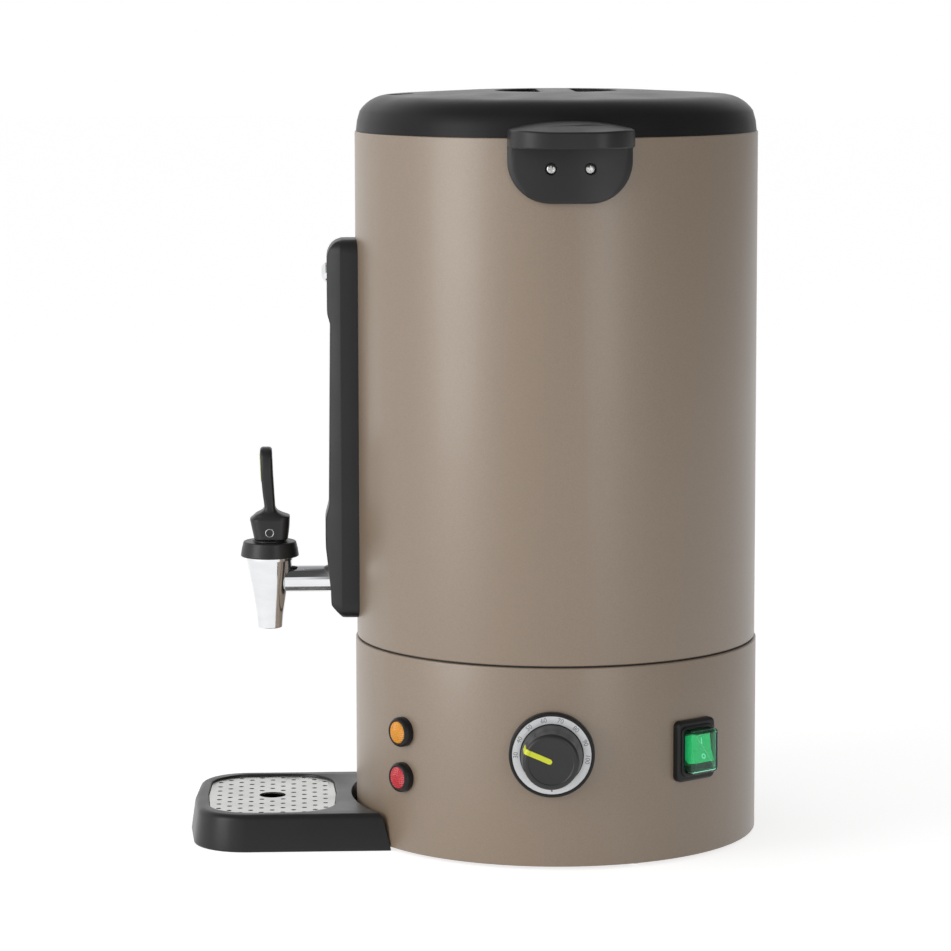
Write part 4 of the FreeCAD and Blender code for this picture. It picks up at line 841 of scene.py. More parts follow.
def screw_tree():
    """Cross-head screws on the given points, each turned to the point's aim."""
    name = "cross_head_screws"
    if name in bpy.data.node_groups:
        return bpy.data.node_groups[name]
    tree = bpy.data.node_groups.new(name, "GeometryNodeTree")
    face = tree.interface
    face.new_socket("Points", in_out="INPUT", socket_type="NodeSocketGeometry")
    for label in ("Head Radius", "Head Height", "Shank Radius", "Shank Length"):
        face.new_socket(label, in_out="INPUT", socket_type="NodeSocketFloat")
    face.new_socket("Finish", in_out="INPUT", socket_type="NodeSocketMaterial")
    face.new_socket("Geometry", in_out="OUTPUT", socket_type="NodeSocketGeometry")
    given = tree.nodes.new("NodeGroupInput").outputs
    radius = given["Head Radius"]
    height = given["Head Height"]
    ball = node(tree, "GeometryNodeMeshUVSphere", ("Segments", 32), ("Rings", 24), ("Radius", 1.0)).outputs["Mesh"]
    size = node(tree, "ShaderNodeCombineXYZ", ("X", radius), ("Y", radius), ("Z", height)).outputs["Vector"]
    dome = node(tree, "GeometryNodeTransform", ("Geometry", ball), ("Scale", size)).outputs["Geometry"]
    wide = maths(tree, "MULTIPLY", radius, 3.0)
    room_size = node(tree, "ShaderNodeCombineXYZ", ("X", wide), ("Y", wide), ("Z", wide)).outputs["Vector"]
    room = node(tree, "GeometryNodeMeshCube", ("Size", room_size)).outputs["Mesh"]
    lift = node(tree, "ShaderNodeCombineXYZ", ("Z", maths(tree, "MULTIPLY", wide, 0.5))).outputs["Vector"]
    room = node(tree, "GeometryNodeTransform", ("Geometry", room), ("Translation", lift)).outputs["Geometry"]
    half = node(tree, "GeometryNodeMeshBoolean", ("Mesh 2", dome), operation="INTERSECT", solver="EXACT")
    tree.links.new(room, half.inputs["Mesh 2"])
    bars = []
    long_bar = maths(tree, "MULTIPLY", radius, 1.15)
    thin_bar = maths(tree, "MULTIPLY", radius, 0.26)
    for sizes in ((long_bar, thin_bar), (thin_bar, long_bar)):
        bar_size = node(tree, "ShaderNodeCombineXYZ", ("X", sizes[0]), ("Y", sizes[1]),
                        ("Z", maths(tree, "MULTIPLY", height, 1.3))).outputs["Vector"]
        bar = node(tree, "GeometryNodeMeshCube", ("Size", bar_size)).outputs["Mesh"]
        up = node(tree, "ShaderNodeCombineXYZ", ("Z", height)).outputs["Vector"]
        bars.append(node(tree, "GeometryNodeTransform", ("Geometry", bar), ("Translation", up)).outputs["Geometry"])
    head = node(tree, "GeometryNodeMeshBoolean", ("Mesh 1", half.outputs["Mesh"]), ("Mesh 2", bars[0]),
                operation="DIFFERENCE", solver="EXACT")
    tree.links.new(bars[1], head.inputs["Mesh 2"])
    shank = node(tree, "GeometryNodeMeshCylinder", ("Vertices", 24), ("Radius", given["Shank Radius"]),
                 ("Depth", given["Shank Length"])).outputs["Mesh"]
    down = node(tree, "ShaderNodeCombineXYZ", ("Z", maths(tree, "MULTIPLY", given["Shank Length"], -0.49))).outputs["Vector"]
    shank = node(tree, "GeometryNodeTransform", ("Geometry", shank), ("Translation", down)).outputs["Geometry"]
    screw = node(tree, "GeometryNodeMeshBoolean", ("Mesh 2", head.outputs["Mesh"]), operation="UNION", solver="EXACT")
    tree.links.new(shank, screw.inputs["Mesh 2"])
    aim = node(tree, "GeometryNodeInputNamedAttribute", ("Name", "aim"), data_type="FLOAT_VECTOR").outputs["Attribute"]
    turn = node(tree, "FunctionNodeAlignRotationToVector", ("Vector", aim), axis="Z").outputs["Rotation"]
    copies = node(tree, "GeometryNodeInstanceOnPoints", ("Points", given["Points"]), ("Instance", screw.outputs["Mesh"]),
                  ("Rotation", turn)).outputs["Instances"]
    solid = node(tree, "GeometryNodeRealizeInstances", ("Geometry", copies)).outputs["Geometry"]
    dressed = node(tree, "GeometryNodeSetMaterial", ("Geometry", solid), ("Material", given["Finish"])).outputs["Geometry"]
    node(tree, "NodeGroupOutput", (0, dressed))
    return tree


def grown(name, tree, mesh, values):
    """The plain mesh that a geometry tree makes from a base mesh and named values."""
    holder = bpy.data.objects.new(name, mesh)
    bpy.context.scene.collection.objects.link(holder)
    change = holder.modifiers.new("grow", "NODES")
    change.node_group = tree
    for item in tree.interface.items_tree:
        if item.item_type == "SOCKET" and item.in_out == "INPUT" and item.name in values:
            change[item.identifier] = values[item.name]
    bpy.context.view_layer.update()
    evaluated = holder.evaluated_get(bpy.context.evaluated_depsgraph_get())
    result = bpy.data.meshes.new_from_object(evaluated)
    discard(holder)
    if len(result.polygons) == 0:
        raise RuntimeError(name + " came out empty")
    return result


def grown_piece(name, tree, mesh, values, body, slot, nodes):
    result = grown(name + "_base", tree, mesh, values)
    form = bmesh.new()
    form.from_mesh(result)
    bpy.data.meshes.remove(result)
    bmesh.ops.remove_doubles(form, verts=form.verts, dist=touching)
    return add_piece(name, form, body, slot, nodes, math.radians(30))


def add_screws(name, places, body, nodes, head_radius, head_height, shank_radius, shank_length):
    points = bpy.data.meshes.new("points")
    points.from_pydata([place.translation for place in places], [], [])
    aim = points.attributes.new("aim", "FLOAT_VECTOR", "POINT")
    for value, place in zip(aim.data, places):
        value.vector = place.to_3x3() @ Vector((0, 0, 1))
    values = {"Head Radius": head_radius, "Head Height": head_height, "Shank Radius": shank_radius,
              "Shank Length": shank_length, "Finish": bpy.data.materials[finish_name("screws_steel")]}
    grown_piece(name, screw_tree(), points, values, body, "screws_steel", nodes)


class URN_OT_gauge(UrnOperator, bpy.types.Operator):
    """Make the cover of the level gauge, a chamfered spine with a window over the glass."""

    bl_idname = "urn.gauge"
    bl_label = "Level gauge"

    half = 19.0 * mm
    end_corner = 9.0 * mm
    chamfer_depth = 10.5 * mm
    chamfer_slope = 0.442
    wall = 2.5 * mm
    window_width = 9.0 * mm
    screw_drop = 22.7 * mm
    screw_radius = 6.75 * mm

    def front(self, height):
        """How far the cover stands off the body at a height, eased at its bends."""
        low = gauge_low.z
        top = gauge_high.z
        stations = [(low, 9.8), (low + 9 * mm, 17.8), (low + 17 * mm, 17.8), (low + 34 * mm, 19.6),
                    (low + 48 * mm, 21.2), (low + 68 * mm, 21.2), (low + 77 * mm, 18.8), (top - 57 * mm, 17.3),
                    (top - 50 * mm, 19.3)]
        bend = 13.0
        for i in range(13):
            angle = math.pi / 2 * i / 12
            stations.append((top - bend * (1 - math.sin(angle)) * mm, 7.8 + 11.5 * math.cos(angle)))
        total = 0.0
        reads = (-1.0, -0.5, 0.0, 0.5, 1.0)
        for shift in reads:
            here = min(max(height + shift * mm, low), top)
            for (a, first), (b, second) in zip(stations, stations[1:]):
                if a <= here <= b:
                    total += first + (second - first) * (here - a) / (b - a)
                    break
        return total / len(reads) * mm

    def ring(self, height, away):
        low = gauge_low.z
        top = gauge_high.z
        to_end = max(0.0, min(height - low, top - height))
        half = self.half - away
        if to_end < self.end_corner:
            half -= self.end_corner - math.sqrt(self.end_corner ** 2 - (self.end_corner - to_end) ** 2)
        depth = self.front(height) - away
        shoulder = min(self.chamfer_depth, depth - 2.4 * mm)
        face = half - (depth - shoulder) * self.chamfer_slope
        back = body_radius + 0.05 * mm
        points = filleted([(-half, -back - mm, 0), (-half, -body_radius - shoulder, 2.0 * mm),
                           (-face, -body_radius - depth, 1.6 * mm), (face, -body_radius - depth, 1.6 * mm),
                           (half, -body_radius - shoulder, 2.0 * mm), (half, -back - mm, 0)])
        count = 14
        inner = back - (8 * mm if away else 0)
        for i in range(count + 1):
            across = half - 2 * half * i / count
            points.append((across, -math.sqrt(inner * inner - across * across)))
        return at_height(points, height)

    def make(self, sizes, colours):
        low = gauge_low.z
        top = gauge_high.z
        bends = 110
        heights = []
        for i in range(9):
            heights.append(low + self.end_corner * (1 - math.cos(math.pi / 2 * i / 8)))
        span = top - low - 2 * self.end_corner
        heights += [low + self.end_corner + span * i / bends for i in range(1, bends)]
        for i in range(17):
            heights.append(top - self.end_corner * (1 - math.sin(math.pi / 2 * i / 16)))
        cover = loft([self.ring(height, 0.0) for height in heights])
        screw_height = top - self.screw_drop
        room_top = screw_height - self.screw_radius - self.wall
        room = [height for height in heights if low + self.wall < height < room_top]
        room = loft([self.ring(height, self.wall) for height in room])
        window_low = low + 81 * mm
        window_high = top - 61.5 * mm
        slot = rounded_rectangle(self.window_width, window_high - window_low, self.window_width * 0.499)
        frame_rings = [at_height(slot, 5 * mm), at_height(slot, 16.4 * mm), at_height(inset(slot, -2 * mm), 22 * mm)]
        window = moved(loft(frame_rings), outward(0, (window_low + window_high) / 2, body_radius))
        pipe = moved(cylinder(9.3 * mm, 0, 40 * mm), outward(0, tap_height, body_radius))
        seat = 21.2 * mm - 3.0 * mm
        plug = moved(cylinder(self.screw_radius + 0.2 * mm, seat, 40 * mm), outward(0, screw_height, body_radius))
        cover = combined(cover, [room, window, pipe, plug])
        add_piece("gauge_cover", cover, "housing", "handle_black", ["gauge_housing"], math.radians(24))


class URN_OT_tap(UrnOperator, bpy.types.Operator):
    """Make the plated casting of the tap and its bonnet."""

    bl_idname = "urn.tap"
    bl_label = "Tap"

    mouth_radius = 8.3 * mm
    waist_radius = 11.35 * mm
    top_radius = 15.8 * mm
    neck_radius = 13.0 * mm
    neck_height = 6.5 * mm
    collar_radius = 11.5 * mm
    collar_height = 1.0 * mm
    pipe_radius = 9.1 * mm
    shank_radius = 8.0 * mm

    def make(self, sizes, colours):
        low = casting_low.z
        top = cone_top
        floor = tap_height - 10.6 * mm
        spout = 4.8 * mm
        room = 7.2 * mm
        mouth = self.mouth_radius
        cone = outline((spout, low), (mouth - 0.9 * mm, low), ((mouth - 0.2 * mm, low + 0.3 * mm), (mouth, low + 0.9 * mm)),
                       (mouth + 0.7 * mm, low + 9.3 * mm),
                       ((self.waist_radius, low + 24.7 * mm), (self.top_radius - 0.2 * mm, top - 2.6 * mm)),
                       ((self.top_radius - 0.05 * mm, top - 2.3 * mm), (self.top_radius, top - 2.0 * mm)),
                       (self.top_radius, top), (self.neck_radius, top),
                       (self.neck_radius, top + self.neck_height), (self.neck_radius - 2.4 * mm, top + self.neck_height),
                       (self.neck_radius - 2.4 * mm, top), (room, floor), (spout, floor))
        cone = moved(lathe(cone, 128), Matrix.Translation((0, -tap_reach, 0)))
        shoulder = body_radius + 15.1 * mm
        inside = -casting_high.y
        bore = 5.5 * mm
        wall_side = tap_reach - 10.0 * mm
        pipe = lathe([(bore, inside), (self.shank_radius, inside), (self.shank_radius, shoulder),
                      (self.pipe_radius, shoulder), (self.pipe_radius, wall_side), (bore, wall_side)], 96)
        casting = combined(cone, [moved(pipe, outward(0, tap_height))], "UNION")

        def at_joint(middle):
            away = (middle.xy - Vector((0, -tap_reach))).length
            return 9.5 * mm < away < 17 * mm and abs(middle.z - tap_height) < 9.6 * mm
        casting = softened(casting, 1.3 * mm, at_joint, 4)
        add_piece("tap_casting", casting, "housing", "chrome_plate", ["tap_body"])
        radius = (bonnet_high.x - bonnet_low.x) / 2
        crest = bonnet_high.z
        high = crest - self.collar_height
        collar = self.collar_radius
        stem = 2.65 * mm
        ceiling = high - 3.5 * mm
        cap = outline((self.neck_radius + 0.05 * mm, top), (radius - 0.9 * mm, top),
                      ((radius - 0.2 * mm, top + 0.2 * mm), (radius, top + 0.9 * mm)),
                      ((radius - 0.6 * mm, top + 5 * mm), (radius - 1.6 * mm, high - 1.2 * mm)),
                      ((radius - 2.0 * mm, high - 0.3 * mm), (radius - 3.0 * mm, high)),
                      (collar + 0.3 * mm, high), ((collar + 0.1 * mm, high + 0.1 * mm), (collar, high + 0.3 * mm)),
                      (collar, crest - 0.2 * mm), (collar - 0.2 * mm, crest), (stem, crest), (stem, ceiling),
                      (self.neck_radius + 0.05 * mm, ceiling))
        cap = moved(lathe(cap, 128), Matrix.Translation((0, -tap_reach, 0)))
        add_piece("tap_bonnet_cap", cap, "housing", "tap_black", ["tap_bonnet"])


class URN_OT_lever(UrnOperator, bpy.types.Operator):
    """Make the tap's lever with its hood, blade, coloured pad and hinge pin."""

    bl_idname = "urn.lever"
    bl_label = "Tap lever"

    # Height over the hood's foot, half width, reach of the inner and outer side from the tap's axis, corner
    stations = [(0.0, 11.4, -11.9, 9.8, 6.0), (0.5, 11.9, -12.3, 10.4, 6.4), (1.2, 12.0, -12.45, 10.6, 6.6),
                (7.6, 12.0, -13.3, 12.0, 7.0), (12.8, 11.95, -13.65, 13.05, 7.0), (13.4, 11.85, -13.68, 13.15, 7.0),
                (13.9, 11.7, -13.7, 12.85, 6.9), (15.0, 11.3, -13.7, 11.5, 6.4), (15.4, 11.1, -13.5, 11.0, 6.2),
                (15.9, 10.9, -12.5, 10.4, 5.9), (16.9, 10.4, -9.4, 9.2, 4.8), (18.2, 9.8, -6.6, 6.7, 4.0),
                (19.3, 9.4, -5.1, 4.8, 3.4), (21.3, 9.0, -4.0, 3.5, 2.6), (25.0, 8.8, -3.7, 3.7, 2.2),
                (30.1, 8.8, -3.4, 4.4, 2.2), (40.4, 10.0, -2.8, 5.3, 2.2), (46.2, 11.0, -2.5, 5.6, 2.2),
                (52.0, 10.95, -2.3, 5.8, 2.2), (56.2, 10.3, -2.1, 6.0, 2.2), (58.8, 9.0, -2.0, 6.1, 2.2),
                (60.4, 7.4, -1.9, 6.0, 2.0), (61.4, 5.6, -1.3, 5.4, 1.6), (62.0, 4.0, -0.5, 4.6, 1.2)]
    pad_middle = 48.1
    pad_height = 19.1 * mm
    pad_width = 12.0 * mm

    def section(self, row, grow=0.0):
        height, half, inner, outer, corner = [value * mm for value in row]
        width = 2 * (half + grow)
        depth = outer - inner + 2 * grow
        ring = rounded_rectangle(width, depth, min(corner + grow, width * 0.49, depth * 0.49))
        middle = -tap_reach - (inner + outer) / 2
        return [(x, y + middle, hood_low + height) for x, y in ring]

    def rows(self, parts=4):
        count = (len(self.stations) - 1) * parts
        return [smooth_between(self.stations, i / parts) for i in range(count + 1)]

    def pad_form(self):
        pad = rounded_slab(rounded_rectangle(self.pad_width, self.pad_height, 5 * mm), 0, 12 * mm, 0, 0.4 * mm, 3)
        return moved(pad, outward(0, hood_low + self.pad_middle * mm, tap_reach + 3.6 * mm))

    def make(self, sizes, colours):
        slot = box((-3.2 * mm, -tap_reach - 7.5 * mm, hood_low - mm), (3.2 * mm, -tap_reach + 7.5 * mm, hood_low + 9.4 * mm))
        rows = self.rows()
        lever = combined(loft([self.section(row) for row in rows]), [slot, self.pad_form()])
        add_piece("lever_grip", lever, "lever", "tap_black", ["tap_lever"])
        proud = loft([self.section(row, 0.35 * mm) for row in rows])
        pad = combined(self.pad_form(), [proud], "INTERSECT")
        add_piece("lever_pad", pad, "lever", "lime_plastic", ["lever_insert"])
        half = 12.1 * mm
        shaft = 1.5 * mm
        end = outline((0, half - 0.3 * mm), (1.0 * mm, half - 0.3 * mm), (1.5 * mm, half - 0.7 * mm),
                      (2.3 * mm, half - 0.7 * mm), (2.4 * mm, half - 0.1 * mm), ((2.65 * mm, half), (2.9 * mm, half - 0.1 * mm)),
                      (3.0 * mm, half - 1.2 * mm), (shaft, half - 1.2 * mm))
        other = [(radius, -height) for radius, height in reversed(end)]
        pin = moved(lathe(other + end, 48), Matrix.Translation((0, -tap_reach, pin_height())) @ Matrix.Rotation(math.pi / 2, 4, "Y"))
        add_piece("lever_pin_headed", pin, "lever", "screws_steel", ["lever_pin"])


def pin_height():
    low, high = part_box("lever_pin")
    return (low.z + high.z) / 2


def perforation_tree():
    """Staggered round holes through a plate, clear of the finger hole and of the plate's edge."""
    tree = bpy.data.node_groups.new("staggered_holes", "GeometryNodeTree")
    face = tree.interface
    face.new_socket("Plate", in_out="INPUT", socket_type="NodeSocketGeometry")
    for label in ("Columns", "Rows"):
        face.new_socket(label, in_out="INPUT", socket_type="NodeSocketInt")
    for label in ("Column Step", "Row Step", "Hole Radius", "Finger Radius", "Half Across", "Half Along", "Corner",
                  "Middle", "Height"):
        face.new_socket(label, in_out="INPUT", socket_type="NodeSocketFloat")
    face.new_socket("Finish", in_out="INPUT", socket_type="NodeSocketMaterial")
    face.new_socket("Geometry", in_out="OUTPUT", socket_type="NodeSocketGeometry")
    given = tree.nodes.new("NodeGroupInput").outputs
    rows = given["Rows"]
    columns = given["Columns"]
    width = maths(tree, "MULTIPLY", maths(tree, "SUBTRACT", rows, 1.0), given["Row Step"])
    depth = maths(tree, "MULTIPLY", maths(tree, "SUBTRACT", columns, 1.0), given["Column Step"])
    grid = node(tree, "GeometryNodeMeshGrid", ("Size X", width), ("Size Y", depth), ("Vertices X", rows),
                ("Vertices Y", columns)).outputs["Mesh"]
    index = node(tree, "GeometryNodeInputIndex").outputs[0]
    odd = maths(tree, "MODULO", maths(tree, "MODULO", index, columns), 2.0)
    shift = maths(tree, "MULTIPLY", odd, maths(tree, "MULTIPLY", given["Row Step"], 0.5))
    offset = node(tree, "ShaderNodeCombineXYZ", ("X", shift)).outputs["Vector"]
    points = node(tree, "GeometryNodeSetPosition", ("Geometry", grid), ("Offset", offset)).outputs["Geometry"]
    place = node(tree, "GeometryNodeInputPosition").outputs[0]
    apart = node(tree, "ShaderNodeSeparateXYZ", ("Vector", place)).outputs
    across = maths(tree, "ABSOLUTE", apart["X"])
    along = maths(tree, "ABSOLUTE", apart["Y"])
    over_x = maths(tree, "MAXIMUM", maths(tree, "ADD", maths(tree, "SUBTRACT", across, given["Half Across"]), given["Corner"]), 0.0)
    over_y = maths(tree, "MAXIMUM", maths(tree, "ADD", maths(tree, "SUBTRACT", along, given["Half Along"]), given["Corner"]), 0.0)
    corner_reach = maths(tree, "SQRT", maths(tree, "ADD", maths(tree, "POWER", over_x, 2.0), maths(tree, "POWER", over_y, 2.0)))
    reach = maths(tree, "SQRT", maths(tree, "ADD", maths(tree, "POWER", across, 2.0), maths(tree, "POWER", along, 2.0)))
    outside = maths(tree, "GREATER_THAN", corner_reach, given["Corner"])
    near = maths(tree, "LESS_THAN", reach, given["Finger Radius"])
    points = node(tree, "GeometryNodeDeleteGeometry", ("Geometry", points), ("Selection", maths(tree, "MAXIMUM", outside, near)),
                  domain="POINT").outputs["Geometry"]
    place = node(tree, "ShaderNodeCombineXYZ", ("Y", given["Middle"]), ("Z", given["Height"])).outputs["Vector"]
    points = node(tree, "GeometryNodeSetPosition", ("Geometry", points), ("Offset", place)).outputs["Geometry"]
    punch = node(tree, "GeometryNodeMeshCylinder", ("Vertices", 20), ("Radius", given["Hole Radius"]), ("Depth", 0.01)).outputs["Mesh"]
    copies = node(tree, "GeometryNodeInstanceOnPoints", ("Points", points), ("Instance", punch)).outputs["Instances"]
    tools = node(tree, "GeometryNodeRealizeInstances", ("Geometry", copies)).outputs["Geometry"]
    plate = node(tree, "GeometryNodeMeshBoolean", ("Mesh 1", given["Plate"]), ("Mesh 2", tools), operation="DIFFERENCE",
                 solver="EXACT").outputs["Mesh"]
    solid = node(tree, "GeometryNodeRealizeInstances", ("Geometry", plate)).outputs["Geometry"]
    dressed = node(tree, "GeometryNodeSetMaterial", ("Geometry", solid), ("Material", given["Finish"])).outputs["Geometry"]
    node(tree, "NodeGroupOutput", (0, dressed))
    return tree


class URN_OT_tray(UrnOperator, bpy.types.Operator):
    """Make the drip tray and its perforated grille."""

    bl_idname = "urn.tray"
    bl_label = "Drip tray"

    corner = 36.0 * mm
    edge_round = 4.0 * mm
    bow = 2.4 * mm
    wall = 2.5 * mm
    draft = 3.5 * mm
    grille_corner = 30.0 * mm
    grille_bow = 1.2 * mm
    finger_radius = 9.0 * mm
    hole_margin = 4.5 * mm

    def plan(self, away):
        half = tray_high.x - away
        front = -tray_low.y - away
        corner = self.corner - away
        shoulder = front - self.bow
        k = corner * (1 - math.sqrt(0.5))
        rear = base_radius * 0.6
        points = outline((half, rear), (half, shoulder - corner), ((half - k, shoulder - k), (half - corner, shoulder)),
                         ((0, front), (corner - half, shoulder)), ((k - half, shoulder - k), (-half, shoulder - corner)),
                         (-half, rear))
        return [(x, -y) for x, y in points]

    def lean(self, height):
        """How far the drafted walls have come in at a height."""
        return self.draft * height / tray_high.z

    def moulding(self, foot_round):
        """The tray's outside: drafted walls between a small foot round and a broad top round."""
        rings = []
        steps = 7
        for i in range(steps + 1):
            angle = math.pi / 2 * i / steps
            height = foot_round * (1 - math.cos(angle))
            rings.append(at_height(self.plan(self.lean(height) + foot_round * (1 - math.sin(angle))), height))
        for i in range(steps + 1):
            angle = math.pi / 2 * i / steps
            height = tray_high.z - self.edge_round * (1 - math.sin(angle))
            rings.append(at_height(self.plan(self.lean(height) + self.edge_round * (1 - math.cos(angle))), height))
        return loft(rings)

    def grille_plan(self, grow):
        near = -grille_high.y - grow
        far = -grille_low.y + grow
        half = grille_high.x + grow
        c = self.grille_corner + grow
        k = c * (1 - math.sqrt(0.5))
        bow = self.grille_bow
        points = outline((c - half, near + bow), ((0, near), (half - c, near + bow)),
                         ((half - k, near + k + bow / 2), (half, near + c + bow)), (half, far - c - bow),
                         ((half - k, far - k - bow / 2), (half - c, far - bow)), ((0, far), (c - half, far - bow)),
                         ((k - half, far - k - bow / 2), (-half, far - c - bow)), (-half, near + c + bow),
                         ((k - half, near + k + bow / 2), (c - half, near + bow)))
        return [(x, -y) for x, y in points]

    def make(self, sizes, colours):
        top = tray_high.z
        tray = self.moulding(1.5 * mm)
        ledge = grille_low.z - 0.2 * mm
        rings = [at_height(self.grille_plan(0.3 * mm), ledge), at_height(self.grille_plan(0.3 * mm), top - 0.5 * mm),
                 at_height(self.grille_plan(0.5 * mm), top - 0.15 * mm), at_height(self.grille_plan(0.9 * mm), top + 0.05 * mm),
                 at_height(self.grille_plan(0.9 * mm), top + 2 * mm)]
        pocket = loft(rings)
        basin = rounded_slab(self.grille_plan(-4.5 * mm), self.wall + 0.6 * mm, top, 2.5 * mm, 0, 5)
        clear = base_radius + 0.4 * mm
        notch_radius = 70 * mm
        notch_axis = base_radius + 3.4 * mm - notch_radius
        base_cut = lathe([(0, -mm), (clear, -mm), (clear, 0), (clear + self.lean(top + mm), top + mm), (0, top + mm)], 192)
        notch = moved(cylinder(notch_radius, -mm, top + mm, 128), Matrix.Translation((0, -notch_axis, 0)))
        ceiling = ledge - self.wall
        under = combined(loft([at_height(self.plan(self.wall + self.lean(-mm)), -mm),
                               at_height(self.plan(self.wall + self.lean(ceiling)), ceiling)]),
                         [cylinder(clear + self.wall + 3.4 * mm, -2 * mm, top + mm, 128),
                          loft([at_height(self.grille_plan(-2.0 * mm), 0.6 * mm), at_height(self.grille_plan(-2.0 * mm), top)])])
        tray = combined(tray, [base_cut, notch, pocket, basin, under])
        add_piece("tray_moulding", tray, "tray", "tray_black", ["drip_tray"])
        thin = 0.35 * mm
        plate = rounded_slab(self.grille_plan(0), grille_low.z, grille_high.z, thin, thin, 3)
        middle = (grille_low.y + grille_high.y) / 2
        finger = moved(cylinder(self.finger_radius, grille_low.z - mm, grille_high.z + mm), Matrix.Translation((0, middle, 0)))
        plate = combined(plate, [finger])
        mesh = bpy.data.meshes.new("plate")
        plate.to_mesh(mesh)
        plate.free()
        half_across = grille_high.x - self.hole_margin
        half_along = (grille_high.y - grille_low.y) / 2 - self.hole_margin
        values = {"Columns": sizes.hole_columns, "Rows": 2 * int(half_across / sizes.row_step) + 3,
                  "Column Step": sizes.column_step, "Row Step": sizes.row_step, "Hole Radius": sizes.hole_radius,
                  "Finger Radius": self.finger_radius + sizes.hole_radius + 1.5 * mm, "Half Across": half_across,
                  "Half Along": half_along, "Corner": self.grille_corner - self.hole_margin, "Middle": middle,
                  "Height": (grille_low.z + grille_high.z) / 2,
                  "Finish": bpy.data.materials[finish_name("tank_steel")]}
        grown_piece("grille_plate", perforation_tree(), mesh, values, "grille", "tank_steel", ["drip_grille"])


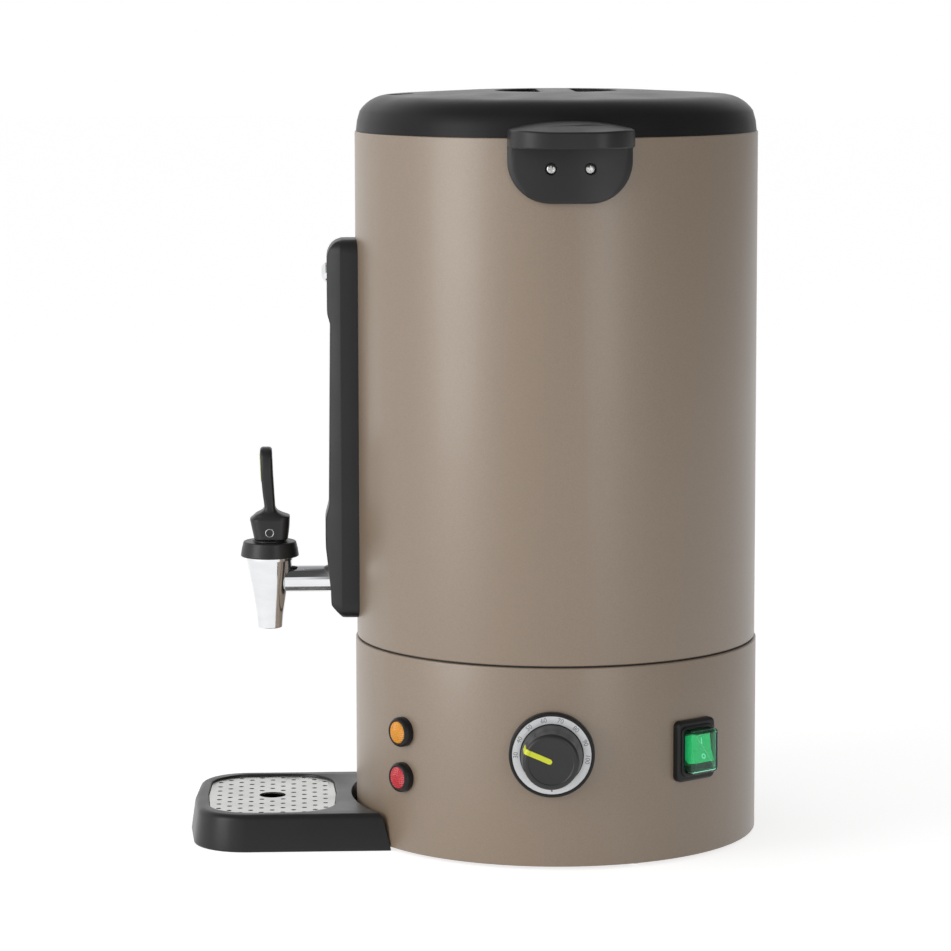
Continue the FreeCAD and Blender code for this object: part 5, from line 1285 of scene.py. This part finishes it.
class URN_OT_dial(UrnOperator, bpy.types.Operator):
    """Make the knob with its pointer, the bezel and the numbered silver ring."""

    bl_idname = "urn.dial"
    bl_label = "Thermostat dial"

    radius = 27.9 * mm
    rim = 2.1 * mm
    depth = 5.2 * mm
    ring_inner = 20.7 * mm
    knob_radius = 20.2 * mm
    face_radius = 17.3 * mm
    knob_height = 24.0 * mm
    pointer_angle = math.radians(156.6)
    pointer_width = 3.4 * mm
    numbers = [("30", 180), ("40", 154), ("50", 129), ("60", 103), ("70", 76), ("80", 48), ("90", 21), ("100", -6)]

    def knob_profile(self, grow):
        """The knob's side from its skirt up over the edge of its face."""
        low = self.depth - 1.0 * mm
        front = low + self.knob_height + grow
        r = self.knob_radius + grow
        f = self.face_radius + grow
        return outline((0, low), (r - 0.3 * mm, low), (r, low + 0.4 * mm), (r, low + 2 * mm),
                       ((r - 0.8 * mm, low + 7 * mm), (f + 0.9 * mm, front - 3 * mm)),
                       ((f + 0.2 * mm, front - 0.8 * mm), (f - 1.6 * mm, front)),
                       (f - 2.4 * mm, front), (f - 2.9 * mm, front - 0.35 * mm),
                       ((f / 2, front - 0.75 * mm), (0.2 * mm, front - 0.8 * mm)), (0, front - 0.8 * mm))

    def make(self, sizes, colours):
        azimuth, height = facing("dial_bezel")
        place = outward(azimuth, height, base_radius)
        r = self.radius
        floor = self.depth - 1.4 * mm
        sink = 4 * mm
        bezel = outline((8.2 * mm, -sink), (r, -sink), (r, self.depth - 1.2 * mm),
                        ((r - 0.3 * mm, self.depth - 0.3 * mm), (r - 1.1 * mm, self.depth)),
                        (r - self.rim + 0.3 * mm, self.depth), (r - self.rim, self.depth - 0.3 * mm), (r - self.rim, floor),
                        (8.2 * mm, floor))
        bezel = combined(moved(lathe(bezel, 128), place), [cylinder(base_radius + 0.05 * mm, 0, base_top, 256)])
        add_piece("dial_rim", bezel, "housing", "trim_black", ["dial_bezel"])
        ring = filleted([(self.ring_inner, floor, 0), (r - self.rim - 0.05 * mm, floor, 0),
                         (r - self.rim - 0.05 * mm, floor + mm, 0.2 * mm), (self.ring_inner, floor + mm, 0.2 * mm)])
        add_piece("dial_ring", moved(lathe(ring, 128), place), "housing", "scale_silver", ["scale_ring"])
        self.numerals(place, floor + mm, sizes.numeral)
        knob = moved(lathe(self.knob_profile(0), 128), place)
        strip = moved(self.strip(), place)
        groove = combined(strip.copy(), [moved(lathe(self.knob_profile(-0.7 * mm), 128), place)])
        knob = combined(knob, [groove])
        add_piece("knob_cap", knob, "dial_knob", "knob_black", ["knob"], math.radians(30))
        proud = combined(strip, [moved(lathe(self.knob_profile(0.35 * mm), 128), place)], "INTERSECT")
        bar = combined(proud, [moved(lathe(self.knob_profile(-0.65 * mm), 128), place)])
        add_piece("knob_bar", bar, "dial_knob", "lime_plastic", ["knob_pointer"], math.radians(30))

    def strip(self):
        """The pointer's round-ended outline, raised through the knob's face and side."""
        long = self.knob_radius + 4 * mm
        half = self.pointer_width / 2
        points = filleted([(long, -half, 0), (long, half, 0), (-0.6 * mm, half, half * 0.99), (-0.6 * mm, -half, half * 0.99)])
        low = self.depth + self.knob_height * 0.42
        form = loft([at_height(points, low), at_height(points, low + self.knob_height)])
        return moved(form, Matrix.Rotation(self.pointer_angle, 4, "Z"))

    def numerals(self, place, height, size):
        """Plain numbers round the ring and a mark at the off position, each with its top outwards."""
        form = bmesh.new()
        middle = (self.ring_inner + self.radius - self.rim) / 2
        for text, degrees in self.numbers:
            curve = bpy.data.curves.new("numeral", "FONT")
            curve.body = text
            curve.size = size * 1.38
            curve.align_x = "CENTER"
            curve.align_y = "CENTER"
            curve.extrude = 0.04 * mm
            curve.resolution_u = 3
            holder = bpy.data.objects.new("numeral", curve)
            bpy.context.scene.collection.objects.link(holder)
            bpy.context.view_layer.update()
            mesh = bpy.data.meshes.new_from_object(holder.evaluated_get(bpy.context.evaluated_depsgraph_get()))
            angle = math.radians(degrees)
            spot = Matrix.Rotation(angle - math.pi / 2, 4, "Z") @ Matrix.Translation((0, middle, height))
            mesh.transform(place @ spot)
            form.from_mesh(mesh)
            bpy.data.objects.remove(holder)
            bpy.data.curves.remove(curve)
            bpy.data.meshes.remove(mesh)
        dot = moved(cylinder(0.7 * mm, height - 0.04 * mm, height + 0.04 * mm, 24), Matrix.Translation((0, -middle, 0)))
        mark = bpy.data.meshes.new("mark")
        moved(dot, place).to_mesh(mark)
        dot.free()
        form.from_mesh(mark)
        bpy.data.meshes.remove(mark)
        bmesh.ops.remove_doubles(form, verts=form.verts, dist=touching)
        numbers = add_piece("dial_numbers", form, "housing", "scale_silver")
        numbers.data.materials[0] = bpy.data.materials[finish_name("dial_print")]


class URN_OT_switch(UrnOperator, bpy.types.Operator):
    """Make the switch frame, the clear splash cover and the marks on the rocker."""

    bl_idname = "urn.switch"
    bl_label = "Switch"

    frame_width = 33.0 * mm
    frame_height = 40.4 * mm
    frame_depth = 5.5 * mm
    boot_width = 23.5 * mm
    boot_height = 29.0 * mm
    boot_depth = 13.0 * mm
    wall = 1.2 * mm
    rocker_tilt = math.radians(12)

    def make(self, sizes, colours):
        azimuth, height = facing("switch_boot")
        place = outward(azimuth, height, base_radius)
        outer = rounded_rectangle(self.frame_width, self.frame_height, 4 * mm)
        collar = rounded_rectangle(self.boot_width + 4.6 * mm, self.boot_height + 4.6 * mm, 4.6 * mm)
        form = rounded_slab(outer, -4 * mm, self.frame_depth - 1.2 * mm, 0, 1.8 * mm, 5)
        raised = rounded_slab(collar, 0, self.frame_depth, 0, 0.8 * mm, 4)
        opening = rounded_rectangle(self.boot_width + 0.4 * mm, self.boot_height + 0.4 * mm, 3 * mm)
        hole = loft([at_height(opening, -5 * mm), at_height(opening, self.frame_depth + mm)])
        form = combined(form, [raised], "UNION")
        form = moved(combined(form, [hole]), place)
        form = combined(form, [cylinder(base_radius + 0.05 * mm, 0, base_top, 256)])
        add_piece("switch_surround", form, "housing", "trim_black", ["switch_frame"])
        boot = rounded_rectangle(self.boot_width, self.boot_height, 2.8 * mm)
        low = 2.5 * mm
        high = self.boot_depth
        edge = 2.2 * mm
        rings = [at_height(boot, low), at_height(boot, high - edge)]
        for i in range(1, 6):
            angle = math.pi / 2 * i / 5
            rings.append(at_height(inset(boot, edge * (1 - math.cos(angle))), high - edge * (1 - math.sin(angle))))
        rings.append(at_height(inset(boot, edge + 0.5 * mm), high))
        rings.append(at_height(inset(boot, edge + 0.8 * mm), high - 0.5 * mm))
        outside = loft(rings)
        room = rounded_slab(inset(boot, self.wall), low - mm, high - 0.5 * mm - self.wall, 0, 1.4 * mm, 4)
        add_piece("switch_cover", moved(combined(outside, [room]), place), "housing", "boot_clear_green", ["switch_boot"])
        self.marks(place)

    def marks(self, place):
        """The I and O on the two halves of the rocker."""
        slope = math.atan2(1.0, 9.2)
        tilt = Matrix.Rotation(-self.rocker_tilt, 4, "X")
        upper = tilt @ Matrix.Translation((0, 5.2 * mm, 9.06 * mm)) @ Matrix.Rotation(slope, 4, "X")
        lower = tilt @ Matrix.Translation((0, -5.2 * mm, 9.06 * mm)) @ Matrix.Rotation(-slope, 4, "X")
        bar = moved(rounded_slab(rounded_rectangle(0.9 * mm, 4.4 * mm, 0.3 * mm), 0, 0.15 * mm, 0, 0.05 * mm, 2), place @ upper)
        circle = lathe(filleted([(0.95 * mm, 0, 0), (1.8 * mm, 0, 0), (1.8 * mm, 0.15 * mm, 0.05 * mm),
                                 (0.95 * mm, 0.15 * mm, 0.05 * mm)]), 40)
        circle = moved(circle, place @ lower)
        mesh = bpy.data.meshes.new("mark")
        circle.to_mesh(mesh)
        circle.free()
        bar.from_mesh(mesh)
        bpy.data.meshes.remove(mesh)
        piece = add_piece("rocker_marks", bar, "rocker", "rocker_green")
        tree, shader = open_finish("rocker_mark", Emission_Strength=0.6)
        place_group(tree, shader, "moulded_grain", {"Smooth": 0.3, "Dull": 0.4})
        place_socket = node(tree, "ShaderNodeTexCoord").outputs["Object"]
        cloud = node(tree, "ShaderNodeTexNoise", ("Vector", place_socket), ("Scale", 300.0)).outputs["Fac"]
        two_tone(tree, shader, cloud, srgb(205, 240, 226), srgb(230, 250, 242))
        glow = node(tree, "ShaderNodeMix", (0, cloud), (6, (*srgb(190, 235, 215), 1)), (7, (*srgb(225, 250, 240), 1)),
                    data_type="RGBA")
        tree.links.new(glow.outputs[2], shader.inputs["Emission Color"])
        piece.data.materials[0] = bpy.data.materials[finish_name("rocker_mark")]


class URN_OT_lamps(UrnOperator, bpy.types.Operator):
    """Make the two pilot lamps with rounded rims and faceted lenses."""

    bl_idname = "urn.lamps"
    bl_label = "Pilot lamps"

    rim_radius = 9.9 * mm
    lens_radius = 7.25 * mm
    depth = 6.0 * mm

    def lens_form(self, facet):
        """A shallow dome of small pyramids, whose outer cells end on the lens's edge."""
        edge = self.depth - 0.7 * mm
        rise = 1.7 * mm
        form = bmesh.new()
        corners = {}

        def corner(column, row):
            if (column, row) not in corners:
                spot = Vector((column, row)) * facet
                if spot.length > self.lens_radius:
                    spot = spot.normalized() * self.lens_radius
                dome = edge + rise * (1 - (spot.length / self.lens_radius) ** 2)
                corners[column, row] = form.verts.new((spot.x, spot.y, dome))
            return corners[column, row]
        count = math.ceil(self.lens_radius / facet) + 1
        for column in range(-count, count):
            for row in range(-count, count):
                places = [(column, row), (column + 1, row), (column + 1, row + 1), (column, row + 1)]
                if not any(math.hypot(*place) * facet < self.lens_radius - 0.1 * mm for place in places):
                    continue
                ring = [corner(*place) for place in places]
                middle = sum((vertex.co for vertex in ring), Vector()) / 4
                tip = form.verts.new(middle + Vector((0, 0, 0.32 * mm)))
                for first, second in zip(ring, ring[1:] + ring[:1]):
                    if (first.co - second.co).length > touching:
                        form.faces.new((first, second, tip))
        border = [item for item in form.edges if len(item.link_faces) == 1]
        wall = bmesh.ops.extrude_edge_only(form, edges=border)["geom"]
        lower = [item for item in wall if isinstance(item, bmesh.types.BMVert)]
        for vertex in lower:
            vertex.co.z = 2 * mm
        base = [item for item in wall if isinstance(item, bmesh.types.BMEdge)
                and all(vertex.co.z < 2.001 * mm for vertex in item.verts)]
        bmesh.ops.contextual_create(form, geom=base)
        bmesh.ops.recalc_face_normals(form, faces=form.faces)
        return form

    def make(self, sizes, colours):
        r = self.rim_radius
        front = self.depth
        inner = self.lens_radius + 0.05 * mm
        profile = outline((6.05 * mm, -4 * mm), (r, -4 * mm), (r, front - 3.4 * mm),
                          ((r - 0.75 * mm, front - 1.0 * mm), (r - 2.0 * mm, front)), (inner, front - 0.5 * mm),
                          (inner, 2 * mm), (6.05 * mm, 2 * mm))
        for colour in ("amber", "red"):
            azimuth, height = facing("lamp_lens_" + colour)
            place = outward(azimuth, height, base_radius)
            rim_form = combined(moved(lathe(profile, 96), place), [cylinder(base_radius + 0.05 * mm, 0, base_top, 256)])
            add_piece("lamp_rim_" + colour, rim_form, "housing", "trim_black", ["lamp_bezel_" + colour])
            add_piece("lamp_cut_lens_" + colour, moved(self.lens_form(sizes.facet), place), "housing", "lens_" + colour,
                      ["lamp_lens_" + colour], math.radians(5))


class URN_OT_stage(UrnOperator, bpy.types.Operator):
    """Make the floor, the soft studio light and the camera at the photograph's view."""

    bl_idname = "urn.stage"
    bl_label = "Stage"

    camera_azimuth = math.radians(86.1)
    camera_distance = 2.555
    camera_height = 0.5733
    camera_pitch = 0.1291
    camera_yaw = -0.0213
    camera_roll = 0.0018
    camera_lens = 143.8

    def camera(self, scene):
        forward = Vector((math.sin(self.camera_yaw) * math.cos(self.camera_pitch),
                          math.cos(self.camera_yaw) * math.cos(self.camera_pitch), -math.sin(self.camera_pitch)))
        right = forward.cross(Vector((0, 0, 1))).normalized()
        down = forward.cross(right)
        cosine = math.cos(self.camera_roll)
        sine = math.sin(self.camera_roll)
        right, down = cosine * right + sine * down, -sine * right + cosine * down
        turn = Matrix.Rotation(self.camera_azimuth, 4, "Z")
        axes = Matrix((right, -down, -forward)).transposed().to_4x4()
        place = Matrix.Translation((0, -self.camera_distance, self.camera_height))
        data = bpy.data.cameras.new("photo_view")
        data.lens = self.camera_lens
        data.sensor_width = 36.0
        eye = bpy.data.objects.new("photo_view", data)
        eye.matrix_world = turn @ place @ axes
        scene.collection.objects.link(eye)
        scene.camera = eye

    def light(self, scene, name, azimuth, height, distance, width, tall, power):
        data = bpy.data.lights.new(name, "AREA")
        data.shape = "RECTANGLE"
        data.size = width
        data.size_y = tall
        data.energy = power
        lamp = bpy.data.objects.new(name, data)
        angle = math.radians(azimuth)
        spot = Vector((distance * math.sin(angle), -distance * math.cos(angle), height))
        aim = (Vector((0, 0, 0.25)) - spot).to_track_quat("-Z", "Y")
        lamp.matrix_world = Matrix.Translation(spot) @ aim.to_matrix().to_4x4()
        scene.collection.objects.link(lamp)

    def world(self, scene):
        """A white surround for what is seen, a plain grey level for what is lit, and a dim flag by the camera."""
        world = bpy.data.worlds.new("studio")
        world.use_nodes = True
        scene.world = world
        tree = world.node_tree
        tree.nodes.clear()
        path = node(tree, "ShaderNodeLightPath").outputs
        way = node(tree, "ShaderNodeTexCoord").outputs["Generated"]
        apart = node(tree, "ShaderNodeSeparateXYZ", ("Vector", way)).outputs
        level = node(tree, "ShaderNodeCombineXYZ", ("X", apart["X"]), ("Y", apart["Y"])).outputs["Vector"]
        level = node(tree, "ShaderNodeVectorMath", (0, level), operation="NORMALIZE").outputs["Vector"]

        def towards(azimuth):
            angle = math.radians(azimuth)
            aim = (math.sin(angle), -math.cos(angle), 0)
            return node(tree, "ShaderNodeVectorMath", (0, level), (1, aim), operation="DOT_PRODUCT").outputs["Value"]
        flag = ranged(tree, towards(104), 0.93, 0.985, 0.0, 0.92)
        dim_side = ranged(tree, towards(178), 0.1, 0.75, 0.0, 0.7)
        ceiling = ranged(tree, apart["Z"], 0.55, 0.8, 0.0, 0.6)
        dim = maths(tree, "MAXIMUM", maths(tree, "MAXIMUM", flag, dim_side), ceiling)
        dim = maths(tree, "MULTIPLY", dim, path["Is Glossy Ray"])
        white = maths(tree, "SUBTRACT", 1.0, dim)
        seen = maths(tree, "MAXIMUM", maths(tree, "MAXIMUM", path["Is Camera Ray"], path["Is Glossy Ray"]),
                     path["Is Transmission Ray"])
        away_side = ranged(tree, towards(200), -0.4, 0.6, 0.0, 0.5)
        ambient = maths(tree, "SUBTRACT", 0.66, away_side)
        strength = node(tree, "ShaderNodeMix", (0, seen), (2, ambient), (3, white), data_type="FLOAT").outputs[0]
        back = node(tree, "ShaderNodeBackground", ("Color", (1, 1, 1, 1)), ("Strength", strength))
        node(tree, "ShaderNodeOutputWorld", ("Surface", back.outputs["Background"]))

    def floor(self, scene):
        form = bmesh.new()
        bmesh.ops.create_circle(form, cap_ends=True, segments=96, radius=14.0)
        mesh = bpy.data.meshes.new("floor")
        form.to_mesh(mesh)
        form.free()
        ground = bpy.data.objects.new("floor", mesh)
        scene.collection.objects.link(ground)
        material = bpy.data.materials.new("floor_white")
        material.use_nodes = True
        tree = material.node_tree
        tree.nodes.clear()
        path = node(tree, "ShaderNodeLightPath").outputs
        seen = maths(tree, "MAXIMUM", maths(tree, "MAXIMUM", path["Is Camera Ray"], path["Is Glossy Ray"]),
                     path["Is Transmission Ray"])
        matt = node(tree, "ShaderNodeBsdfDiffuse", ("Color", (0.8, 0.8, 0.8, 1))).outputs["BSDF"]
        shadow = node(tree, "ShaderNodeBsdfDiffuse", ("Color", (0.6, 0.6, 0.6, 1))).outputs["BSDF"]
        glow = node(tree, "ShaderNodeEmission", ("Color", (1, 1, 1, 1)), ("Strength", 0.74)).outputs["Emission"]
        lit = node(tree, "ShaderNodeAddShader", (0, shadow), (1, glow)).outputs["Shader"]
        surface = node(tree, "ShaderNodeMixShader", (0, seen), (1, matt), (2, lit)).outputs["Shader"]
        node(tree, "ShaderNodeOutputMaterial", ("Surface", surface))
        mesh.materials.append(material)

    def make(self, sizes, colours):
        scene = bpy.context.scene
        scene.view_settings.view_transform = "Standard"
        self.camera(scene)
        self.world(scene)
        self.floor(scene)
        self.light(scene, "key_light", 30, 0.4, 1.7, 0.8, 1.9, 14.4)
        self.light(scene, "fill_light", 112, 0.45, 1.9, 0.4, 1.5, 5.6)


class URN_PT_sidebar(bpy.types.Panel):
    """Lists the urn's steps, sizes and colours."""

    bl_idname = "URN_PT_sidebar"
    bl_label = "Hot water urn"
    bl_space_type = "VIEW_3D"
    bl_region_type = "UI"
    bl_category = "Urn"

    def draw(self, context):
        for group in (context.scene.urn_sizes, context.scene.urn_colours):
            box_area = self.layout.box()
            for label in group.__annotations__:
                box_area.prop(group, label)
        for step in steps:
            self.layout.operator(step.bl_idname)


steps = (URN_OT_stage, URN_OT_finishes, URN_OT_shells, URN_OT_lid, URN_OT_handles, URN_OT_gauge, URN_OT_tap,
         URN_OT_lever, URN_OT_tray, URN_OT_dial, URN_OT_switch, URN_OT_lamps)
classes = (UrnColours, UrnSizes) + steps + (URN_PT_sidebar,)


def register():
    for each in classes:
        bpy.utils.register_class(each)
    bpy.types.Scene.urn_colours = PointerProperty(type=UrnColours)
    bpy.types.Scene.urn_sizes = PointerProperty(type=UrnSizes)


def unregister():
    del bpy.types.Scene.urn_sizes
    del bpy.types.Scene.urn_colours
    for each in reversed(classes):
        bpy.utils.unregister_class(each)


def main():
    register()
    bpy.ops.urn.stage()
    bpy.ops.urn.finishes()
    bpy.ops.urn.shells()
    bpy.ops.urn.lid()
    bpy.ops.urn.handles()
    bpy.ops.urn.gauge()
    bpy.ops.urn.tap()
    bpy.ops.urn.lever()
    bpy.ops.urn.tray()
    bpy.ops.urn.dial()
    bpy.ops.urn.switch()
    bpy.ops.urn.lamps()


if __name__ == "__main__":
    main()
